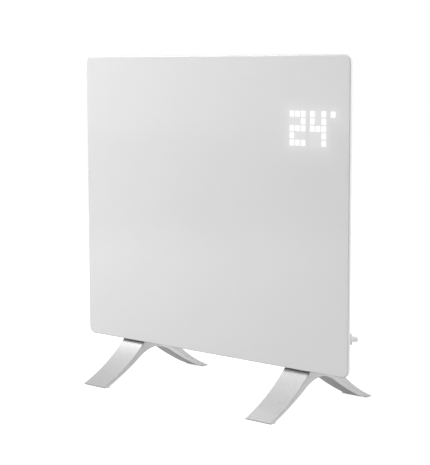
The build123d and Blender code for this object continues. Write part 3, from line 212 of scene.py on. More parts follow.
class HeaterStage(bpy.types.PropertyGroup):
    """Camera, lamps and floor."""

    eye: FloatVectorProperty(
        name="Camera",
        description="Where the camera stands",
        subtype="TRANSLATION",
        size=3,
        default=(1.4377, -1.5833, 0.4893),
    )
    yaw: FloatProperty(
        name="Yaw",
        description="How far the camera is turned to the left",
        subtype="ANGLE",
        default=0.74402,
    )
    pitch: FloatProperty(
        name="Pitch",
        description="How far the camera looks down",
        subtype="ANGLE",
        default=0.116097,
    )
    roll: FloatProperty(
        name="Roll",
        description="How far the camera leans",
        subtype="ANGLE",
        default=-0.001882,
    )
    lens: FloatProperty(
        name="Lens",
        description="Focal length in millimetres on a 36 mm frame",
        default=111.94,
    )
    room_light: FloatProperty(
        name="Room light",
        description="Strength of the even light from all sides",
        default=0.22,
        min=0.0,
    )
    room_behind: FloatProperty(
        name="Room behind",
        description="Brightness of the room behind the object, as reflections see it",
        default=0.72,
        min=0.0,
    )
    key_light: FloatProperty(
        name="Key light",
        description="Power of the large lamp at the front left, in watts",
        default=28.5,
        min=0.0,
    )
    top_light: FloatProperty(
        name="Top light",
        description="Power of the large lamp overhead, in watts",
        default=31.0,
        min=0.0,
    )
    side_light: FloatProperty(
        name="Side light",
        description="Power of the large lamp at the right, in watts",
        default=18.0,
        min=0.0,
    )
    back_light: FloatProperty(
        name="Back light",
        description="Power of the large lamp behind, in watts",
        default=18.0,
        min=0.0,
    )
    floor: FloatVectorProperty(
        name="Floor",
        description="Colour of the floor in the light that it throws back",
        subtype="COLOR",
        size=3,
        default=(0.65, 0.65, 0.65),
    )


# ------------------------------------------------------------------ node helpers


def fill(tree, node, inputs):
    """Fills a node's inputs with links or values. Three numbers do for a colour."""
    for key, value in dict(inputs).items():
        socket = node.inputs[key]
        if isinstance(value, bpy.types.NodeSocket):
            tree.links.new(value, socket)
        elif socket.type == "RGBA":
            socket.default_value = (*value[:3], 1.0)
        else:
            socket.default_value = value


def place(tree, kind, inputs=(), **settings):
    """Adds a node, sets its own settings and fills its inputs."""
    made = tree.nodes.new(kind)
    for name, value in settings.items():
        setattr(made, name, value)
    fill(tree, made, inputs)
    return made


def reckon(tree, operation, *terms, clamp=False):
    """Math node on the given links or numbers."""
    made = place(
        tree, "ShaderNodeMath", enumerate(terms), operation=operation, use_clamp=clamp
    )
    return made.outputs[0]


def scale(tree, triple, factor):
    """Colour or place times a number."""
    inputs = {0: triple, "Scale": factor}
    return place(tree, "ShaderNodeVectorMath", inputs, operation="SCALE").outputs[0]


def axes(tree, vector):
    """The x, y and z of a vector."""
    return place(tree, "ShaderNodeSeparateXYZ", {0: vector}).outputs


def normal_axes(tree):
    """The x, y and z of the surface's normal."""
    return axes(tree, place(tree, "ShaderNodeNewGeometry").outputs["Normal"])


def vary(tree, value, share, around, middle=0.5):
    """A number, moved by a share of how far a value, such as a noise, is from its middle."""
    return reckon(tree, "MULTIPLY_ADD", reckon(tree, "SUBTRACT", value, middle), share, around)


def distance(tree, first, second):
    """How far two numbers lie apart."""
    return reckon(tree, "ABSOLUTE", reckon(tree, "SUBTRACT", first, second))


def diagonal(tree, first, second):
    """Square root of the sum of two squares."""
    squares = [reckon(tree, "POWER", side, 2.0) for side in (first, second)]
    return reckon(tree, "SQRT", reckon(tree, "ADD", *squares))


def spread(tree, value, low, high, new_low=0.0, new_high=1.0):
    """Maps a range of values onto another, held at its ends."""
    inputs = {0: value, 1: low, 2: high, 3: new_low, 4: new_high}
    return place(tree, "ShaderNodeMapRange", inputs, clamp=True).outputs[0]


def blend_colours(tree, share, first, second, how="MIX"):
    """Mixes two colours by a share."""
    made = place(
        tree,
        "ShaderNodeMix",
        {0: share, 6: first, 7: second},
        data_type="RGBA",
        blend_type=how,
        clamp_result=True,
    )
    return made.outputs[2]


def noise(tree, where, count, detail=2.0, rough=0.5):
    """Noise value at a place, with so many swells to a metre."""
    inputs = {"Vector": where, "Scale": count, "Detail": detail, "Roughness": rough}
    return place(tree, "ShaderNodeTexNoise", inputs).outputs[0]


SOCKETS = {1: "NodeSocketFloat", 3: "NodeSocketVector", 4: "NodeSocketColor"}
SURFACE = ("Colour", "Roughness", "Height")


def start_effect(name, inputs, outputs):
    """Starts a shader node group that takes a place and the named inputs: a number, the three of
    a vector or the four of a colour. Gives its tree, what it is given and its output node."""
    tree = bpy.data.node_groups.new(name, "ShaderNodeTree")
    for label, value in {"Place": (0.0, 0.0, 0.0), **inputs}.items():
        kind = SOCKETS[np.size(value)]
        socket = tree.interface.new_socket(label, in_out="INPUT", socket_type=kind)
        socket.default_value = value
    for label in outputs:
        kind = SOCKETS[4 if label == "Colour" else 1]
        tree.interface.new_socket(label, in_out="OUTPUT", socket_type=kind)
    return tree, tree.nodes.new("NodeGroupInput").outputs, tree.nodes.new("NodeGroupOutput")


# ------------------------------------------------------------------ shared effects


def powder_coat(name):
    """Sprayed powder: flowed bumps one grain across with finer ones on them, and a faint
    cloudiness."""
    tree, given, result = start_effect(
        name,
        {"Colour": (0.8, 0.8, 0.8, 1.0), "Grain": 0.0007, "Cloud": 0.02, "Roughness": 0.45},
        SURFACE,
    )
    count = reckon(tree, "DIVIDE", 1.0, given["Grain"])
    flowed = noise(tree, given["Place"], count, detail=1.0)
    fine = noise(tree, given["Place"], reckon(tree, "MULTIPLY", count, 3.1), detail=0.0)
    cloud = noise(tree, given["Place"], 14.0, detail=3.0)
    fine_share = 0.35
    clouded = vary(tree, cloud, given["Cloud"], 1.0)
    tone = vary(tree, flowed, given["Cloud"], clouded)
    made = {
        "Colour": scale(tree, given["Colour"], tone),
        "Roughness": vary(tree, flowed, 0.2, given["Roughness"]),
        "Height": reckon(tree, "MULTIPLY_ADD", fine, fine_share, flowed),
    }
    fill(tree, result, made)
    return tree


def drawn_lines(name):
    """Lines left by rolling, drawing or brushing: noise that is stretched along the way the
    metal ran."""
    tree, given, result = start_effect(
        name,
        {
            "Colour": (0.7, 0.7, 0.7, 1.0),
            "Stretch": (1.0, 1.0, 1.0),
            "Contrast": 0.15,
            "Roughness": 0.35,
        },
        SURFACE,
    )
    inputs = {0: given["Place"], 1: given["Stretch"]}
    run = place(tree, "ShaderNodeVectorMath", inputs, operation="MULTIPLY").outputs[0]
    lines = noise(tree, run, 900.0, detail=3.0, rough=0.6)
    broad = noise(tree, given["Place"], 30.0)
    broad_share = 0.6
    both = reckon(tree, "MULTIPLY_ADD", broad, broad_share, lines)
    middle = 0.5 + broad_share / 2
    tone = vary(tree, both, given["Contrast"], 1.0, middle)
    made = {
        "Colour": scale(tree, given["Colour"], tone),
        "Roughness": vary(tree, both, given["Contrast"], given["Roughness"], middle),
        "Height": lines,
    }
    fill(tree, result, made)
    return tree


def zinc_flowers(name):
    """Crystals of a hot zinc coat: cells that each have their own tone and sheen."""
    tree, given, result = start_effect(
        name,
        {
            "Colour": (0.66, 0.68, 0.69, 1.0),
            "Crystal": 0.006,
            "Contrast": 0.16,
            "Roughness": 0.36,
        },
        SURFACE,
    )
    count = reckon(tree, "DIVIDE", 1.0, given["Crystal"])
    inputs = {"Vector": given["Place"], "Scale": count}
    crystals = place(tree, "ShaderNodeTexVoronoi", inputs, feature="F1").outputs["Color"]
    tone = place(tree, "ShaderNodeSeparateColor", {0: crystals}).outputs[0]
    made = {
        "Colour": scale(tree, given["Colour"], vary(tree, tone, given["Contrast"], 1.0)),
        "Roughness": vary(tree, tone, 0.2, given["Roughness"]),
        "Height": noise(tree, given["Place"], count, detail=4.0),
    }
    fill(tree, result, made)
    return tree


def moulded_skin(name):
    """Skin of moulded plastic, rubber or ceramic: a fine spark-eroded or pressed grain and slow
    changes of tone."""
    tree, given, result = start_effect(
        name,
        {"Colour": (0.5, 0.5, 0.5, 1.0), "Grain": 0.0004, "Cloud": 0.06, "Roughness": 0.5},
        SURFACE,
    )
    count = reckon(tree, "DIVIDE", 1.0, given["Grain"])
    inputs = {"Vector": given["Place"], "Scale": count, "Randomness": 1.0}
    grains = place(tree, "ShaderNodeTexVoronoi", inputs, feature="SMOOTH_F1").outputs["Distance"]
    cloud = noise(tree, given["Place"], 60.0, detail=3.0)
    smooth = reckon(tree, "ADD", given["Roughness"], -0.05)
    made = {
        "Colour": scale(tree, given["Colour"], vary(tree, cloud, given["Cloud"], 1.0)),
        "Roughness": reckon(tree, "MULTIPLY_ADD", grains, 0.15, smooth),
        "Height": grains,
    }
    fill(tree, result, made)
    return tree


def woven_sleeve(name):
    """Braid of a heat-proof sleeve: two sets of crossing waves, the higher one on top, with
    painted shade where the braid lies low.
    """
    tree, given, result = start_effect(
        name,
        {"Colour": (0.8, 0.76, 0.68, 1.0), "Strand": 0.0006, "Roughness": 0.8},
        SURFACE,
    )
    turn = reckon(tree, "DIVIDE", math.pi, given["Strand"])
    x, y, z = axes(tree, given["Place"])
    along = reckon(tree, "ADD", x, reckon(tree, "ADD", y, z))
    across = reckon(tree, "SUBTRACT", x, reckon(tree, "SUBTRACT", y, z))
    waves = [
        reckon(tree, "ABSOLUTE", reckon(tree, "SINE", reckon(tree, "MULTIPLY", way, turn)))
        for way in (along, across)
    ]
    top = reckon(tree, "MAXIMUM", *waves)
    made = {
        # Painted shade: the colour darkens where the braid lies low, between the strands
        "Colour": scale(tree, given["Colour"], spread(tree, top, 0.0, 1.0, 0.75, 1.0)),
        "Roughness": reckon(tree, "MULTIPLY_ADD", top, -0.1, given["Roughness"]),
        "Height": top,
    }
    fill(tree, result, made)
    return tree


def board_tracks(name):
    """Printed board: lacquer over copper tracks that run one way or the other in each block,
    with tinned pads that have a hole in the middle, painted near black as the shade in the hole."""
    tree, given, result = start_effect(
        name,
        {"Lacquer": (0.03, 0.24, 0.11, 1.0), "Tin": (0.7, 0.7, 0.68, 1.0), "Pitch": 0.00254},
        ("Colour", "Roughness", "Metal", "Height"),
    )
    block_side = 0.009
    track_half, pad_radius, hole_radius = 0.16, 0.17, 0.07  # in their own pitches

    def off_line(way, pitch):
        """Distance from the nearest line of a pitch, in pitches."""
        wave = reckon(tree, "FRACT", reckon(tree, "DIVIDE", way, pitch))
        return distance(tree, wave, 0.5)

    x, _, z = axes(tree, given["Place"])
    inputs = {0: given["Place"], 1: (block_side,) * 3}
    corner = place(tree, "ShaderNodeVectorMath", inputs, operation="SNAP").outputs[0]
    chance = place(tree, "ShaderNodeTexWhiteNoise", {"Vector": corner}).outputs[0]
    inputs = {
        0: reckon(tree, "GREATER_THAN", chance, 0.5),
        2: off_line(x, given["Pitch"]),
        3: off_line(z, given["Pitch"]),
    }
    off_track = place(tree, "ShaderNodeMix", inputs, data_type="FLOAT").outputs[0]
    track = reckon(tree, "LESS_THAN", off_track, track_half)
    pad_pitch = reckon(tree, "MULTIPLY", given["Pitch"], 2.0)
    far = diagonal(tree, off_line(x, pad_pitch), off_line(z, pad_pitch))
    has_pads = reckon(tree, "GREATER_THAN", chance, 0.3)
    pad = reckon(tree, "MULTIPLY", reckon(tree, "LESS_THAN", far, pad_radius), has_pads)
    hole = reckon(tree, "MULTIPLY", reckon(tree, "LESS_THAN", far, hole_radius), pad)
    copper = reckon(tree, "MULTIPLY", track, 0.45)
    colour = blend_colours(tree, copper, given["Lacquer"], (0.10, 0.42, 0.16))
    colour = blend_colours(tree, pad, colour, given["Tin"])
    made = {
        # Painted shade: each pad's hole is coloured near black as the shade inside it
        "Colour": blend_colours(tree, hole, colour, (0.02, 0.02, 0.02)),
        "Roughness": spread(tree, pad, 0.0, 1.0, 0.38, 0.28),
        "Metal": reckon(tree, "SUBTRACT", pad, hole, clamp=True),
        "Height": reckon(tree, "MAXIMUM", track, pad),
    }
    fill(tree, result, made)
    return tree


def lit_cells(name):
    """Lit cells of one digit. A cell is a rounded square on a pitch, and is lit where its bit of
    the pattern number is one. The glow falls off with the distance from the digit's own box."""
    tree, given, result = start_effect(
        name,
        {
            "Left": 0.0,
            "Top": 0.0,
            "Columns": 3.0,
            "Rows": 5.0,
            "Pattern": 1.0,
            "Pitch": 0.01,
            "Cell": 0.0083,
            "Reach": 0.01,
        },
        ("Lit", "Glow"),
    )
    # In pitches: how far the corners' middles lie in from a cell's side, where a cell fades out
    # beyond them, and how far a digit's box reaches past the middles of its outer cells
    corner, fade_start, fade_end, margin = 0.12, 0.09, 0.14, 0.3
    side = reckon(tree, "DIVIDE", given["Cell"], given["Pitch"])
    straight = reckon(tree, "SUBTRACT", reckon(tree, "DIVIDE", side, 2.0), corner)

    def one_way(spot, count):
        """Along one side of the digit: the nearest cell, whether the digit has it, and the
        distances from the straight part of that cell and from the digit's box."""
        cell = reckon(tree, "ROUND", spot)
        last = reckon(tree, "SUBTRACT", count, 1.0)
        first_on = reckon(tree, "GREATER_THAN", cell, -0.5)
        to_last = reckon(tree, "LESS_THAN", cell, reckon(tree, "ADD", last, 0.5))
        off_cell = reckon(tree, "SUBTRACT", distance(tree, spot, cell), straight)
        before = reckon(tree, "SUBTRACT", -margin, spot)
        after = reckon(tree, "SUBTRACT", reckon(tree, "SUBTRACT", spot, last), margin)
        return (
            cell,
            reckon(tree, "MULTIPLY", first_on, to_last),
            reckon(tree, "MAXIMUM", off_cell, 0.0),
            reckon(tree, "MAXIMUM", reckon(tree, "MAXIMUM", before, after), 0.0),
        )

    x, _, z = axes(tree, given["Place"])
    from_left = reckon(tree, "SUBTRACT", x, given["Left"])
    from_top = reckon(tree, "SUBTRACT", given["Top"], z)
    across = reckon(tree, "DIVIDE", from_left, given["Pitch"])
    down = reckon(tree, "DIVIDE", from_top, given["Pitch"])
    column, has_column, off_x, away_x = one_way(across, given["Columns"])
    row, has_row, off_z, away_z = one_way(down, given["Rows"])
    bit = reckon(tree, "MULTIPLY_ADD", row, given["Columns"], column)
    rest = reckon(tree, "DIVIDE", given["Pattern"], reckon(tree, "POWER", 2.0, bit))
    odd = reckon(tree, "MODULO", reckon(tree, "FLOOR", rest), 2.0)
    held = reckon(tree, "MULTIPLY", has_column, has_row)
    lit = reckon(tree, "MULTIPLY", held, reckon(tree, "GREATER_THAN", odd, 0.5))
    shape = spread(tree, diagonal(tree, off_x, off_z), fade_start, fade_end, 1.0, 0.0)
    gap = reckon(tree, "MULTIPLY", diagonal(tree, away_x, away_z), given["Pitch"])
    fall = reckon(tree, "DIVIDE", reckon(tree, "MULTIPLY", gap, -1.0), given["Reach"])
    made = {
        "Lit": reckon(tree, "MULTIPLY", shape, lit),
        "Glow": reckon(tree, "EXPONENT", fall),
    }
    fill(tree, result, made)
    return tree


def settled_dust(name):
    """Faint dust on faces that look up, in patches."""
    tree, given, result = start_effect(
        name, {"Colour": (0.8, 0.8, 0.8, 1.0), "Amount": 0.05}, ("Colour",)
    )
    _, _, up = normal_axes(tree)
    patches = noise(tree, given["Place"], 45.0, detail=4.0, rough=0.6)
    lying = reckon(
        tree, "MULTIPLY", spread(tree, up, 0.2, 1.0), spread(tree, patches, 0.3, 0.75)
    )
    share = reckon(tree, "MULTIPLY", lying, given["Amount"])
    dusty = blend_colours(tree, share, given["Colour"], (0.46, 0.45, 0.43))
    fill(tree, result, {"Colour": dusty})
    return tree


def heat_tint(name):
    """Straw and brown tint of metal that has been hot, strongest away from the two cold ends."""
    tree, given, result = start_effect(
        name,
        {"Colour": (0.7, 0.7, 0.7, 1.0), "Middle": 0.0, "Half": 0.15, "Amount": 0.3},
        ("Colour",),
    )
    x, _, _ = axes(tree, given["Place"])
    off_middle = reckon(tree, "DIVIDE", distance(tree, x, given["Middle"]), given["Half"])
    uneven = noise(tree, given["Place"], 35.0, detail=3.0)
    hot = spread(tree, reckon(tree, "MULTIPLY_ADD", uneven, 0.5, off_middle), 1.35, 0.75)
    tint = blend_colours(tree, hot, WHITE, (0.74, 0.62, 0.45))
    tinted = blend_colours(tree, given["Amount"], given["Colour"], tint, how="MULTIPLY")
    fill(tree, result, {"Colour": tinted})
    return tree


def put_effect(tree, effect, inputs):
    """Places a shared effect in a material with the material's own values, and builds its node
    group the first time."""
    name = effect.__name__
    made = tree.nodes.new("ShaderNodeGroup")
    made.node_tree = bpy.data.node_groups.get(name) or effect(name)
    fill(tree, made, inputs)
    return made.outputs


# ------------------------------------------------------------------ materials


def start_tree(owner):
    """Empty node tree of a material or a world."""
    owner.use_nodes = True
    owner.node_tree.nodes.clear()
    return owner.node_tree


def start_finish(name, **shader):
    """New material with one Principled shader, whose even values are set on its own sockets."""
    finish = bpy.data.materials.new(name)
    tree = start_tree(finish)
    values = {key.replace("_", " "): value for key, value in shader.items()}
    surface = place(tree, "ShaderNodeBsdfPrincipled", values)
    place(tree, "ShaderNodeOutputMaterial", {0: surface.outputs[0]})
    where = tree.nodes.new("ShaderNodeTexCoord").outputs["Object"]
    return finish, tree, surface, where


def cover(tree, surface, colour, roughness, height, depth):
    """Feeds a colour, a roughness and bumps of a depth into the shader."""
    bump = place(tree, "ShaderNodeBump", {"Height": height, "Distance": depth, "Strength": 1.0})
    inputs = {"Base Color": colour, "Roughness": roughness, "Normal": bump.outputs[0]}
    fill(tree, surface, inputs)


def dress(slot, finish):
    """Gives a material to every CAD node whose record names that slot."""
    for name, wanted in SLOTS.items():
        if wanted == slot:
            for held in NODES[name].material_slots:
                held.material = finish


def coat(slot, effect, depth, values, tint=None, dust=0.0, light=None, **shader):
    """Dresses a slot in one shared effect, with bumps of a depth. Heat tint and dust lie over its
    colour, and a light of the given colour shines where the readout is lit."""
    finish, tree, surface, where = start_finish(slot, **shader)
    made = put_effect(tree, effect, {"Place": where, **values})
    colour = made["Colour"]
    if tint:
        colour = put_effect(tree, heat_tint, {"Place": where, "Colour": colour, **tint})[0]
    if dust:
        inputs = {"Place": where, "Colour": colour, "Amount": dust}
        colour = put_effect(tree, settled_dust, inputs)[0]
    if light:
        lit, _ = readout_light(tree, where)
        shine = {"Emission Color": scale(tree, light, lit), "Emission Strength": 1.0}
        fill(tree, surface, shine)
    cover(tree, surface, colour, made["Roughness"], made["Height"], depth)
    dress(slot, finish)


def readout_light(tree, where):
    """Masks of the lit cells and of the glow for all digits of the readout."""
    low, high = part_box("display_leds")
    width, height = high.x - low.x - LIGHT_SIZE, high.z - low.z - LIGHT_SIZE
    lit, glow = 0.0, 0.0
    for index, (columns, rows, pattern) in enumerate(READOUT):
        inputs = {
            "Place": where,
            "Left": low.x + LIGHT_SIZE / 2 + index * width / (len(READOUT) - 1),
            "Top": high.z - LIGHT_SIZE / 2,
            "Columns": columns,
            "Rows": rows,
            "Pattern": pattern,
            "Pitch": height / (DIGIT_ROWS - 1),
        }
        made = put_effect(tree, lit_cells, inputs)
        lit = reckon(tree, "MAXIMUM", lit, made["Lit"])
        glow = reckon(tree, "MAXIMUM", glow, made["Glow"])
    return lit, glow


# ------------------------------------------------------------------ operators


class HEATER_OT_glass(bpy.types.Operator):
    """Finishes the glass front: white behind, glossy in front, with the readout shining through"""

    bl_idname = "heater.glass"
    bl_label = "Glass front"

    def execute(self, context):
        own = context.scene.heater_finish
        finish, tree, surface, where = start_finish("coated_glass", IOR=1.5)
        tone = spread(tree, noise(tree, where, 5.0), 0.2, 0.8, 0.992, 1.008)
        front = scale(tree, tuple(own.glass), tone)
        # The edges face neither forwards nor back; they are painted lighter as light carried in
        # the glass, and the lower one is painted darker as shade
        _, facing, up = normal_axes(tree)
        edge = spread(tree, reckon(tree, "ABSOLUTE", facing), 0.25, 0.75, 1.0, 0.0)
        lower = spread(tree, up, -0.5, -0.9)
        colour = blend_colours(tree, edge, front, own.glass_edge_light)
        colour = blend_colours(tree, lower, colour, own.glass_lower_shade)
        smear = noise(tree, where, 22.0, detail=5.0, rough=0.65)
        clean = spread(tree, smear, 0.35, 0.8, 0.05, 0.11)
        roughness = reckon(tree, "MULTIPLY_ADD", edge, 0.12, clean)
        lit, glow = readout_light(tree, where)
        glow = reckon(tree, "MULTIPLY", glow, own.glow)
        light = reckon(tree, "MULTIPLY_ADD", lit, own.light, glow)
        shine = {"Emission Color": scale(tree, WHITE, light), "Emission Strength": 1.0}
        fill(tree, surface, shine)
        wave = noise(tree, where, 9.0, detail=1.0)
        cover(tree, surface, colour, roughness, wave, 20 * MICRON)
        dress("coated_glass", finish)
        return {"FINISHED"}


class HEATER_OT_casing(bpy.types.Operator):
    """Finishes the powder coated steel, the bright sheets in it and the foam under the glass"""

    bl_idname = "heater.casing"
    bl_label = "Casing"

    def execute(self, context):
        own = context.scene.heater_finish
        steel = {"Colour": own.steel, "Grain": own.grain, "Cloud": 0.03, "Roughness": 0.42}
        coat("coated_steel", powder_coat, 30 * MICRON, steel, dust=0.05)
        grille = {**steel, "Grain": own.grain * 0.8, "Roughness": 0.38}
        coat("grille_steel", powder_coat, 30 * MICRON, grille, dust=0.07)
        zinc = {"Colour": (0.62, 0.64, 0.65), "Crystal": 0.006}
        coat("galvanised_steel", zinc_flowers, 10 * MICRON, zinc, Metallic=1.0)
        rolled = {"Colour": (0.78, 0.79, 0.80), "Stretch": (0.02, 1.0, 1.0), "Roughness": 0.22}
        coat("shield_sheet", drawn_lines, 4 * MICRON, rolled, Metallic=1.0)
        foam = {"Colour": (0.42, 0.42, 0.43), "Grain": 0.0006, "Roughness": 0.85}
        coat("bond_foam", moulded_skin, 100 * MICRON, foam)
        return {"FINISHED"}


class HEATER_OT_feet(bpy.types.Operator):
    """Finishes the cast feet and their rubber pads"""

    bl_idname = "heater.feet"
    bl_label = "Feet"

    def execute(self, context):
        own = context.scene.heater_finish
        finish, tree, surface, where = start_finish("cast_aluminium", Metallic=0.8)
        lacquer = {"Colour": own.feet, "Grain": own.grain * 0.6, "Cloud": 0.04, "Roughness": 0.28}
        made = put_effect(tree, powder_coat, {"Place": where, **lacquer})
        # Painted shade underneath between the bevels, painted highlight on the bevels, painted
        # shade on the folds; underneath and folds are rougher
        across, _, up = normal_axes(tree)
        tilted = spread(tree, reckon(tree, "ABSOLUTE", across), 0.08, 0.16)
        under = spread(tree, up, -0.15, -0.45)
        bevel_highlight = reckon(tree, "MULTIPLY", under, tilted)
        under_shade = reckon(tree, "SUBTRACT", under, bevel_highlight)
        fold_shade = reckon(tree, "MULTIPLY", spread(tree, up, 0.1, 0.25), tilted)
        colour = made["Colour"]
        for share, tone in ((under_shade, own.feet_underside_shade), (bevel_highlight, own.feet_bevel_highlight), (fold_shade, own.feet_fold_shade)):
            colour = blend_colours(tree, share, colour, tone)
        dull = reckon(tree, "ADD", under_shade, fold_shade)
        roughness = reckon(tree, "MULTIPLY_ADD", dull, 0.3, made["Roughness"])
        cover(tree, surface, colour, roughness, made["Height"], 6 * MICRON)
        dress("cast_aluminium", finish)
        rubber = {"Colour": (0.035, 0.035, 0.036), "Grain": 0.0005, "Roughness": 0.75}
        coat("black_rubber", moulded_skin, 50 * MICRON, rubber)
        return {"FINISHED"}


class HEATER_OT_fasteners(bpy.types.Operator):
    """Finishes the screws, nuts and threaded inserts"""

    bl_idname = "heater.fasteners"
    bl_label = "Fasteners"

    def execute(self, context):
        drawn = {"Stretch": (1.0, 0.15, 1.0), "Contrast": 0.2}
        zinc = {**drawn, "Colour": (0.66, 0.67, 0.69), "Roughness": 0.3}
        coat("zinc_steel", drawn_lines, 10 * MICRON, zinc, Metallic=1.0)
        brass = {**drawn, "Colour": (0.78, 0.60, 0.27), "Roughness": 0.26}
        coat("brass", drawn_lines, 10 * MICRON, brass, Metallic=1.0)
        return {"FINISHED"}


class HEATER_OT_readout(bpy.types.Operator):
    """Finishes the diffuser, light grid, lights and touch keys behind the glass"""

    bl_idname = "heater.readout"
    bl_label = "Readout"

    def execute(self, context):
        film = {"Colour": (0.88, 0.88, 0.86), "Grain": 0.0003, "Roughness": 0.6}
        coat("diffuser_film", moulded_skin, 10 * MICRON, film, light=(0.6, 0.6, 0.6))
        grid = {"Colour": (0.84, 0.84, 0.83), "Grain": 0.0005, "Roughness": 0.5}
        coat("grid_plastic", moulded_skin, 20 * MICRON, grid)
        gel = {"Colour": (0.93, 0.88, 0.60), "Grain": 0.0008, "Roughness": 0.35}
        lens = {"IOR": 1.45, "Coat_Weight": 0.6, "Coat_Roughness": 0.06}
        coat("led_white", moulded_skin, 10 * MICRON, gel, light=(1.2, 1.2, 1.1), **lens)
        foam = {"Colour": (0.10, 0.10, 0.11), "Grain": 0.0004, "Roughness": 0.9}
        coat("touch_foam", moulded_skin, 80 * MICRON, foam)
        return {"FINISHED"}


class HEATER_OT_boards(bpy.types.Operator):
    """Finishes the circuit boards and the parts that are soldered to them"""

    bl_idname = "heater.boards"
    bl_label = "Circuit boards"

    def execute(self, context):
        finish, tree, surface, where = start_finish("circuit_board")
        made = put_effect(tree, board_tracks, {"Place": where})
        fill(tree, surface, {"Metallic": made["Metal"]})
        cover(tree, surface, made["Colour"], made["Roughness"], made["Height"], 30 * MICRON)
        dress("circuit_board", finish)
        blue = {"Colour": (0.045, 0.14, 0.42), "Grain": 0.0006, "Cloud": 0.1, "Roughness": 0.3}
        coat("relay_plastic", moulded_skin, 10 * MICRON, blue)
        sleeve = {"Colour": (0.035, 0.045, 0.06), "Grain": 0.001, "Cloud": 0.2, "Roughness": 0.25}
        coat("capacitor_sleeve", moulded_skin, 10 * MICRON, sleeve)
        can = {"Colour": (0.72, 0.73, 0.74), "Stretch": (1.0, 1.0, 0.05), "Roughness": 0.28}
        coat("module_can", drawn_lines, 5 * MICRON, can, Metallic=1.0)
        return {"FINISHED"}


class HEATER_OT_element(bpy.types.Operator):
    """Finishes the finned element with its tube, bushes, thermal cut-out, sensor and tip weight"""

    bl_idname = "heater.element"
    bl_label = "Heating element"

    def execute(self, context):
        low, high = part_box("heater_fins")
        hot = {"Middle": (low.x + high.x) / 2, "Half": (high.x - low.x) / 2}
        # Slot, depth of the drawn lines, colour, their stretch and contrast, roughness, heat tint
        for slot, depth, colour, stretch, contrast, roughness, amount in (
            ("fin_aluminium", 10 * MICRON, (0.76, 0.77, 0.78), (1.0, 1.0, 0.02), 0.12, 0.32, 0.35),
            ("element_tube", 10 * MICRON, (0.50, 0.48, 0.46), (0.02, 1.0, 1.0), 0.25, 0.36, 0.7),
            ("cutout_metal", 10 * MICRON, (0.68, 0.67, 0.64), (1.0, 0.1, 1.0), 0.2, 0.3, 0.0),
            ("sensor_metal", 5 * MICRON, (0.78, 0.78, 0.78), (1.0, 0.1, 1.0), 0.2, 0.18, 0.0),
            ("pendulum_steel", 10 * MICRON, (0.60, 0.61, 0.63), (0.1, 1.0, 1.0), 0.2, 0.25, 0.0),
        ):
            values = {"Colour": colour, "Stretch": stretch}
            values |= {"Contrast": contrast, "Roughness": roughness}
            tint = {**hot, "Amount": amount} if amount else None
            coat(slot, drawn_lines, depth, values, tint=tint, Metallic=1.0)
        ceramic = {"Colour": (0.84, 0.82, 0.76), "Grain": 0.0003, "Roughness": 0.65}
        coat("white_ceramic", moulded_skin, 30 * MICRON, ceramic)
        return {"FINISHED"}


class HEATER_OT_leads(bpy.types.Operator):
    """Finishes the leads: braid on the hot ones, smooth plastic on the others"""

    bl_idname = "heater.leads"
    bl_label = "Leads"

    def execute(self, context):
        coat("element_insulation", woven_sleeve, 100 * MICRON, {})
        mains = {"Colour": (0.16, 0.07, 0.035), "Grain": 0.0007, "Cloud": 0.1, "Roughness": 0.38}
        coat("mains_insulation", moulded_skin, 10 * MICRON, mains)
        signal = {**mains, "Colour": (0.28, 0.28, 0.30)}
        coat("signal_insulation", moulded_skin, 10 * MICRON, signal)
        return {"FINISHED"}


class HEATER_OT_plastics(bpy.types.Operator):
    """Finishes the moulded plastic parts, with the on and off marks printed on the rocker"""

    bl_idname = "heater.plastics"
    bl_label = "Plastics and switch"

    def execute(self, context):
        white = {"Colour": (0.88, 0.88, 0.87), "Grain": 0.0005, "Cloud": 0.03, "Roughness": 0.45}
        coat("white_plastic", moulded_skin, 20 * MICRON, white)
        finish, tree, surface, where = start_finish("black_plastic")
        black = {"Colour": (0.028, 0.028, 0.030), "Grain": 0.0005, "Roughness": 0.42}
        made = put_effect(tree, moulded_skin, {"Place": where, **black})
        low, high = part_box("switch_rocker")
        middle = (low + high) / 2
        x, y, z = axes(tree, where)
        across = reckon(tree, "SUBTRACT", x, middle.x)
        rise = reckon(tree, "SUBTRACT", z, middle.z)
        wide = reckon(tree, "LESS_THAN", reckon(tree, "ABSOLUTE", across), BAR_HALF_WIDTH)
        high_up = reckon(tree, "LESS_THAN", distance(tree, rise, MARK_RISE), BAR_HALF_HEIGHT)
        far = diagonal(tree, across, reckon(tree, "ADD", rise, MARK_RISE))
        ring = reckon(tree, "LESS_THAN", distance(tree, far, RING_RADIUS), RING_HALF_WIDTH)
        marks = reckon(tree, "MAXIMUM", reckon(tree, "MULTIPLY", wide, high_up), ring)
        outer = reckon(tree, "GREATER_THAN", y, high.y - MARK_DEPTH)
        printed = reckon(tree, "MULTIPLY", marks, outer)
        colour = blend_colours(tree, printed, made["Colour"], (0.75, 0.75, 0.74))
        cover(tree, surface, colour, made["Roughness"], made["Height"], 20 * MICRON)
        dress("black_plastic", finish)
        return {"FINISHED"}


class HEATER_OT_threads(bpy.types.Operator):
    """Makes the threads inside the wall inserts"""

    bl_idname = "heater.threads"
    bl_label = "Insert threads"

    def execute(self, context):
        own = context.scene.heater_details
        low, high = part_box("wall_inserts")
        bores = mount_points("wall_fixing")
        if not bores:
            raise RuntimeError("the record has no wall fixing to put threads in")
        ridges = [
            thread((x, low.y, z), own.bore, high.y - low.y, own.thread_pitch, own.thread_depth)
            for x, z in bores
        ]
        add_piece("insert_threads", ridges, "wall_inserts")
        return {"FINISHED"}


# ------------------------------------------------------------------ new surfaces


